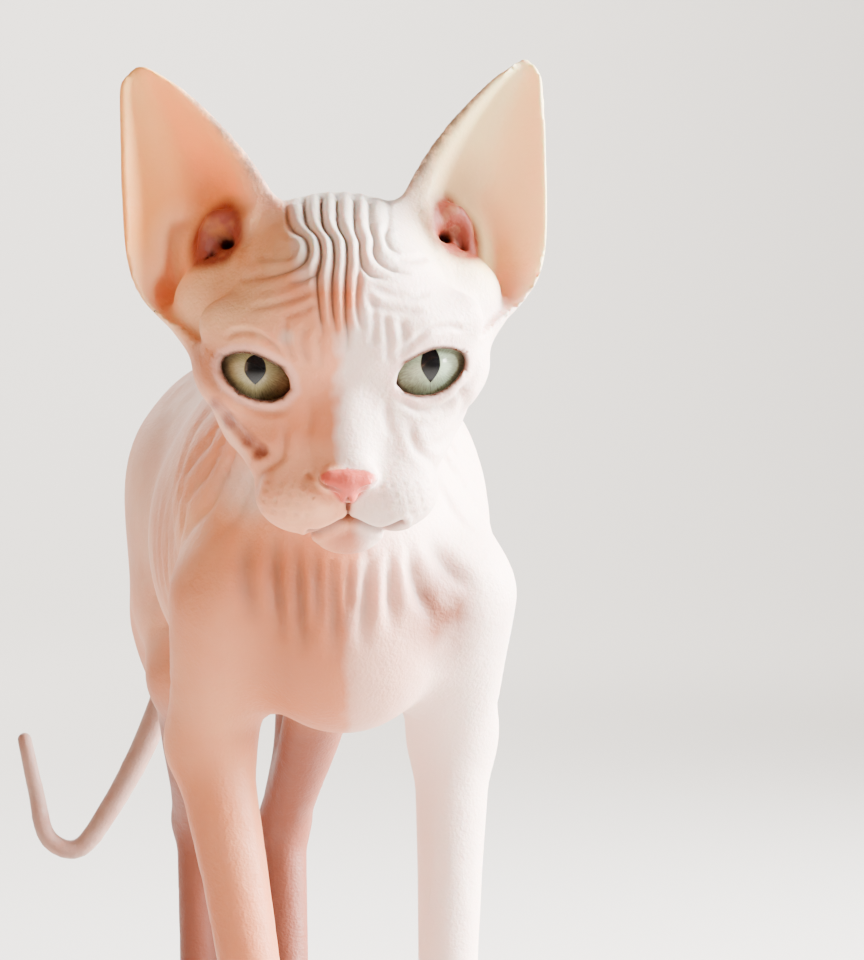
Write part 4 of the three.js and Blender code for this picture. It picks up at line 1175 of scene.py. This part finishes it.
def skinMaterial():
    desk = NodeDesk("bareSkin")
    look = skinLook

    def grain(scale, detail, roughness, low, high):
        return desk.ramp(desk.noise(scale, detail, roughness), low, high)

    def wander(scale, detail, weight):
        return desk.times(desk.maths("SUBTRACT", desk.noise(scale, detail), 0.5), weight)

    mottle = grain(*look["mottle"])
    colour = desk.mix(grain(*look["patches"]), look["base"], look["pale"])
    colour = desk.mix(desk.times(mottle, look["mottleWeight"]), colour, look["mottled"])
    broad, narrow = look["litSideWander"]
    # painted light on the lit half, with a wandering edge
    litHalf = desk.maths("ADD", desk.mask("paintedLitSide"), desk.maths("ADD", wander(*narrow), wander(*broad)))
    least, more = look["speckleWeight"]
    broken = desk.maths("ADD", least, desk.times(grain(*look["speckle"]), more))
    special = {"paintedLitSide": desk.ramp(litHalf, *look["litSideRamp"]),
               "pigment": desk.times(desk.mask("pigment"), broken)}
    for name, weight, tone, *grains in look["tones"]:
        amount = special[name] if name in special else desk.mask(name)
        for settings in grains:
            amount = desk.times(amount, grain(*settings))
        colour = desk.mix(desk.times(amount, weight) if weight < 1 else amount, colour, tone)
    desk.put(desk.shader.inputs["Base Color"], colour)
    roughness = desk.maths("ADD", desk.times(mottle, look["mottleRoughness"]), look["roughness"])
    roughness = desk.maths("SUBTRACT", roughness, desk.times(desk.mask("lidEdge"), look["lidGloss"]))
    desk.put(desk.shader.inputs["Roughness"], roughness)
    desk.set(look["shader"])
    scale, low, high, weight = look["pores"]
    cells = desk.node("ShaderNodeTexVoronoi", Vector=desk.place(), Scale=scale)
    cells.feature = "DISTANCE_TO_EDGE"
    pores = desk.times(desk.ramp(cells.outputs["Distance"], low, high), weight)
    *softGrain, weight = look["soft"]
    height = desk.maths("ADD", desk.noise(*look["fine"]), desk.times(desk.noise(*softGrain), weight))
    bump = desk.node("ShaderNodeBump", Height=desk.maths("ADD", pores, height), **look["bump"])
    desk.put(desk.shader.inputs["Normal"], bump.outputs["Normal"])
    return desk.material


skinData.materials.append(skinMaterial())
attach(skin, "root")
flesh = [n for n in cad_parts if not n.startswith("eye_")]
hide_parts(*flesh)
print("skin dressed")


# eyes
eyeLook = {
    "pupil": {"left": (2.6, 4.6), "right": (2.85, 3.9)},  # half width and half height
    "pupilPlace": {"left": (-0.3, -0.2), "right": (0.1, -0.2)},
    "pupilPower": (2.2, 1.7),  # how full its upper and lower halves are
    "pupilEdge": (-0.12, 0.16),
    "pupilColour": (0.004, 0.004, 0.005, 1),
    "irisRadius": 9.8,
    "bulge": 1.2,
    "bulgeFrom": 0.72,
    "span": 30.0,  # the width of the iris picture on the ball
    # painted light and shade: the left eye, on the lit side, is paler mint and the right eye, in shade,
    # darker olive
    "iris": {"left": (0.47, 0.64, 0.45, 1), "right": (0.34, 0.30, 0.155, 1)},
    "lightDark": (1.5, 0.72),
    "streaks": (3.2, 6.0, 0.62),
    "streakStretch": (6.0, 0.22),
    "outer": (0.30, 0.16, 0.09, 1),
    "ring": (0.20, 0.13, 0.08, 1),
    "ringWidth": 1.3,
    "corner": (0.52, 0.30, 0.27, 1),
    "inner": (0.50, 0.45, 0.20, 1),
    "shader": {"Roughness": 0.24, "Coat Weight": 1.0, "Coat Roughness": 0.05, "Coat IOR": 1.34,
               "Specular IOR Level": 0.3},
}


def eyeMaterial(side):
    desk = NodeDesk(f"iris_{side}")
    look = eyeLook
    place = desk.node("ShaderNodeUVMap")
    place.uv_map = "gaze"
    apart = desk.node("ShaderNodeSeparateXYZ", Vector=place.outputs["UV"])
    flat = (desk.times(desk.maths("SUBTRACT", apart.outputs[axis], 0.5), look["span"]) for axis in "XY")
    px, py = (desk.maths("SUBTRACT", x, off) for x, off in zip(flat, look["pupilPlace"][side]))
    halfWidth, halfHeight = look["pupil"][side]
    lens = desk.maths("ABSOLUTE", desk.maths("DIVIDE", py, halfHeight))
    above, below = (desk.maths("SUBTRACT", 1.0, desk.maths("POWER", lens, power), True)
                    for power in look["pupilPower"])
    narrow = desk.maths("ADD", desk.times(desk.maths("SQRT", above), desk.maths("GREATER_THAN", py, 0.0)),
                        desk.times(below, desk.maths("LESS_THAN", py, 0.0)))
    pupilEdge = desk.maths("SUBTRACT", desk.times(narrow, halfWidth), desk.maths("ABSOLUTE", px))
    radius = desk.maths("SQRT", desk.maths("ADD", desk.times(px, px), desk.times(py, py)))
    turns, out = look["streakStretch"]
    streakPlace = desk.node("ShaderNodeCombineXYZ", X=desk.times(desk.maths("ARCTAN2", py, px), turns),
                            Y=desk.times(radius, out))
    streaks = desk.noise(*look["streaks"], streakPlace.outputs["Vector"])
    light, dark = (tuple(min(1, c * much) for c in look["iris"][side][:3]) + (1,)
                   for much in look["lightDark"])
    irisRadius = look["irisRadius"]
    colour = desk.mix(desk.ramp(streaks, 0.3, 0.7), dark, light)
    for amount, tone in (
            (desk.times(desk.ramp(desk.times(px, sides[side]), 3.5, 8.5), 0.7), look["outer"]),
            (desk.times(desk.ramp(radius, irisRadius - look["ringWidth"], irisRadius), 0.6), look["ring"]),
            (desk.ramp(radius, irisRadius, irisRadius + 0.5), look["corner"]),
            (desk.times(desk.ramp(radius, 6.5, 2.5), 0.22), look["inner"]),
            (desk.ramp(pupilEdge, *look["pupilEdge"]), look["pupilColour"])):
        colour = desk.mix(amount, colour, tone)
    desk.put(desk.shader.inputs["Base Color"], colour)
    desk.set(look["shader"])
    return desk.material


def eyeball(side):
    f = eyeFrames[side]
    rings, around = 40, 56
    points, faces, places = [], [], []
    for i in range(rings + 1):
        polar = math.pi * i / rings
        for j in range(around):
            angle = 2 * math.pi * j / around
            out, wide = math.cos(polar) * eye["radius"], math.sin(polar) * eye["radius"]
            start = eyeLook["bulgeFrom"]
            bulge = eyeLook["bulge"] * max(0.0, (math.cos(polar) - start) / (1 - start)) ** 1.5
            a, b = wide * math.cos(angle), wide * math.sin(angle)
            points.append(f["centre"] + f["across"] * a + f["up"] * b + f["gaze"] * (out + bulge))
            places.append((0.5 + a / eyeLook["span"], 0.5 + b / eyeLook["span"]))
    for i in range(rings):
        for j in range(around):
            k = (j + 1) % around
            faces.append((i * around + j, (i + 1) * around + j, (i + 1) * around + k, i * around + k))
    mesh = bpy.data.meshes.new(f"eyeball_{side}")
    mesh.from_pydata([tuple(p) for p in metres(points)], [], faces)
    layer = mesh.uv_layers.new(name="gaze")
    for loop in mesh.loops:
        layer.data[loop.index].uv = places[loop.vertex_index]
    work = bmesh.new()
    work.from_mesh(mesh)
    bmesh.ops.remove_doubles(work, verts=work.verts, dist=1e-6)
    bmesh.ops.recalc_face_normals(work, faces=work.faces)
    work.to_mesh(mesh)
    work.free()
    mesh.polygons.foreach_set("use_smooth", [True] * len(mesh.polygons))
    ball = placed(f"eyeball_{side}", mesh)
    mesh.materials.append(eyeMaterial(side))
    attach(ball, "root")
    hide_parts(f"eye_{side}")


for side in sides:
    eyeball(side)
print("eyes set")


# claws, a small hooked horn at the end of each toe
clawLook = {
    "length": 3.6,  # millimetres
    "thickness": 1.15,
    "hook": 1.5,
    "height": 6.4,
    "setIn": 0.9,  # how far the root sits inside the toe
    "spread": 1.2,
    "splay": 0.35,
    "steps": 10,
    "sides": 10,
    "tip": 0.12,  # thickness at the tip, as a share
    "middle": 0.6,  # how far out the bend begins, as a share
    "colour": (0.80, 0.70, 0.60, 1),
    "streak": (0.62, 0.47, 0.38, 1),
    "shader": {"Roughness": 0.3, "Subsurface Weight": 0.2, "Subsurface Scale": 0.001},
}


def clawTree():
    tree = bpy.data.node_groups.new("clawOnToes", "GeometryNodeTree")
    tree.interface.new_socket("Toes", in_out="INPUT", socket_type="NodeSocketGeometry")
    for name in ("Length", "Thickness", "Hook"):
        tree.interface.new_socket(name, in_out="INPUT", socket_type="NodeSocketFloat")
    tree.interface.new_socket("Horn", in_out="INPUT", socket_type="NodeSocketMaterial")
    tree.interface.new_socket("Claws", in_out="OUTPUT", socket_type="NodeSocketGeometry")

    def node(kind, **settings):
        made = tree.nodes.new(kind)
        for key, value in settings.items():
            setattr(made, key, value)
        return made

    def link(a, b):
        tree.links.new(a, b)

    given, result = node("NodeGroupInput"), node("NodeGroupOutput")

    def scaled(name, factor, socket):
        made = node("ShaderNodeMath", operation="MULTIPLY")
        link(given.outputs[name], made.inputs[0])
        made.inputs[1].default_value = factor
        link(made.outputs[0], socket)

    bent, tip = node("ShaderNodeCombineXYZ"), node("ShaderNodeCombineXYZ")
    scaled("Length", -clawLook["middle"], bent.inputs["Y"])
    scaled("Length", -1.0, tip.inputs["Y"])
    scaled("Hook", -1.0, tip.inputs["Z"])
    path = node("GeometryNodeCurveQuadraticBezier")
    path.inputs["Resolution"].default_value = clawLook["steps"]
    link(bent.outputs[0], path.inputs["Middle"])
    link(tip.outputs[0], path.inputs["End"])
    path.inputs["Start"].default_value = (0, 0, 0)
    along = node("GeometryNodeSplineParameter")
    taper = node("ShaderNodeMapRange")
    link(along.outputs["Factor"], taper.inputs["Value"])
    taper.inputs["To Min"].default_value = 1.0
    taper.inputs["To Max"].default_value = clawLook["tip"]
    profile = node("GeometryNodeCurvePrimitiveCircle")
    profile.inputs["Resolution"].default_value = clawLook["sides"]
    link(given.outputs["Thickness"], profile.inputs["Radius"])
    radius = node("GeometryNodeSetCurveRadius")
    link(path.outputs["Curve"], radius.inputs["Curve"])
    link(taper.outputs["Result"], radius.inputs["Radius"])
    swept = node("GeometryNodeCurveToMesh")
    link(radius.outputs["Curve"], swept.inputs["Curve"])
    link(profile.outputs["Curve"], swept.inputs["Profile Curve"])
    swept.inputs["Fill Caps"].default_value = True
    if "Scale" in swept.inputs:
        link(taper.outputs["Result"], swept.inputs["Scale"])
    spread = node("GeometryNodeInstanceOnPoints")
    turned = node("GeometryNodeInputNamedAttribute", data_type="FLOAT")
    turned.inputs["Name"].default_value = "splay"
    turning = node("ShaderNodeCombineXYZ")
    link(turned.outputs["Attribute"], turning.inputs["Z"])
    link(given.outputs["Toes"], spread.inputs["Points"])
    link(swept.outputs["Mesh"], spread.inputs["Instance"])
    link(turning.outputs[0], spread.inputs["Rotation"])
    real = node("GeometryNodeRealizeInstances")
    link(spread.outputs["Instances"], real.inputs["Geometry"])
    smooth = node("GeometryNodeSetShadeSmooth")
    link(real.outputs["Geometry"], smooth.inputs[0])
    dressed = node("GeometryNodeSetMaterial")
    link(smooth.outputs[0], dressed.inputs["Geometry"])
    link(given.outputs["Horn"], dressed.inputs["Material"])
    link(dressed.outputs["Geometry"], result.inputs["Claws"])
    return tree


def clawMaterial():
    desk = NodeDesk("claw")
    desk.put(desk.shader.inputs["Base Color"],
             desk.mix(desk.noise(420.0, 3.0), clawLook["colour"], clawLook["streak"]))
    desk.set(clawLook["shader"])
    return desk.material


def claws():
    places, splay = [], []
    for paw in paws:
        for x, y, across in toePlaces(paw["x"], paw["y"] - paw["length"] * toe["forward"], paw["width"]):
            places.append((x + across * clawLook["spread"], y - toe["length"] + clawLook["setIn"],
                           clawLook["height"]))
            splay.append(across * clawLook["splay"])
    mesh = bpy.data.meshes.new("toeTips")
    mesh.from_pydata([tuple(p) for p in metres(places)], [], [])
    mesh.attributes.new("splay", "FLOAT", "POINT").data.foreach_set("value", splay)
    seeds = placed("toeTips", mesh)
    tree = clawTree()
    modifier = seeds.modifiers.new("clawOnToes", "NODES")
    modifier.node_group = tree
    wanted = {name: clawLook[name.lower()] / 1000 for name in ("Length", "Thickness", "Hook")}
    wanted["Horn"] = clawMaterial()
    for item in tree.interface.items_tree:
        if item.in_out == "INPUT" and item.name in wanted:
            modifier[item.identifier] = wanted[item.name]
    bpy.context.view_layer.update()
    grown = bpy.data.meshes.new_from_object(seeds.evaluated_get(bpy.context.evaluated_depsgraph_get()))
    grown.name = "claws"
    seeds.modifiers.remove(modifier)
    bpy.data.objects.remove(seeds)
    piece = placed("claws", grown)
    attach(piece, "root")
    print("claws made", len(grown.polygons))


claws()
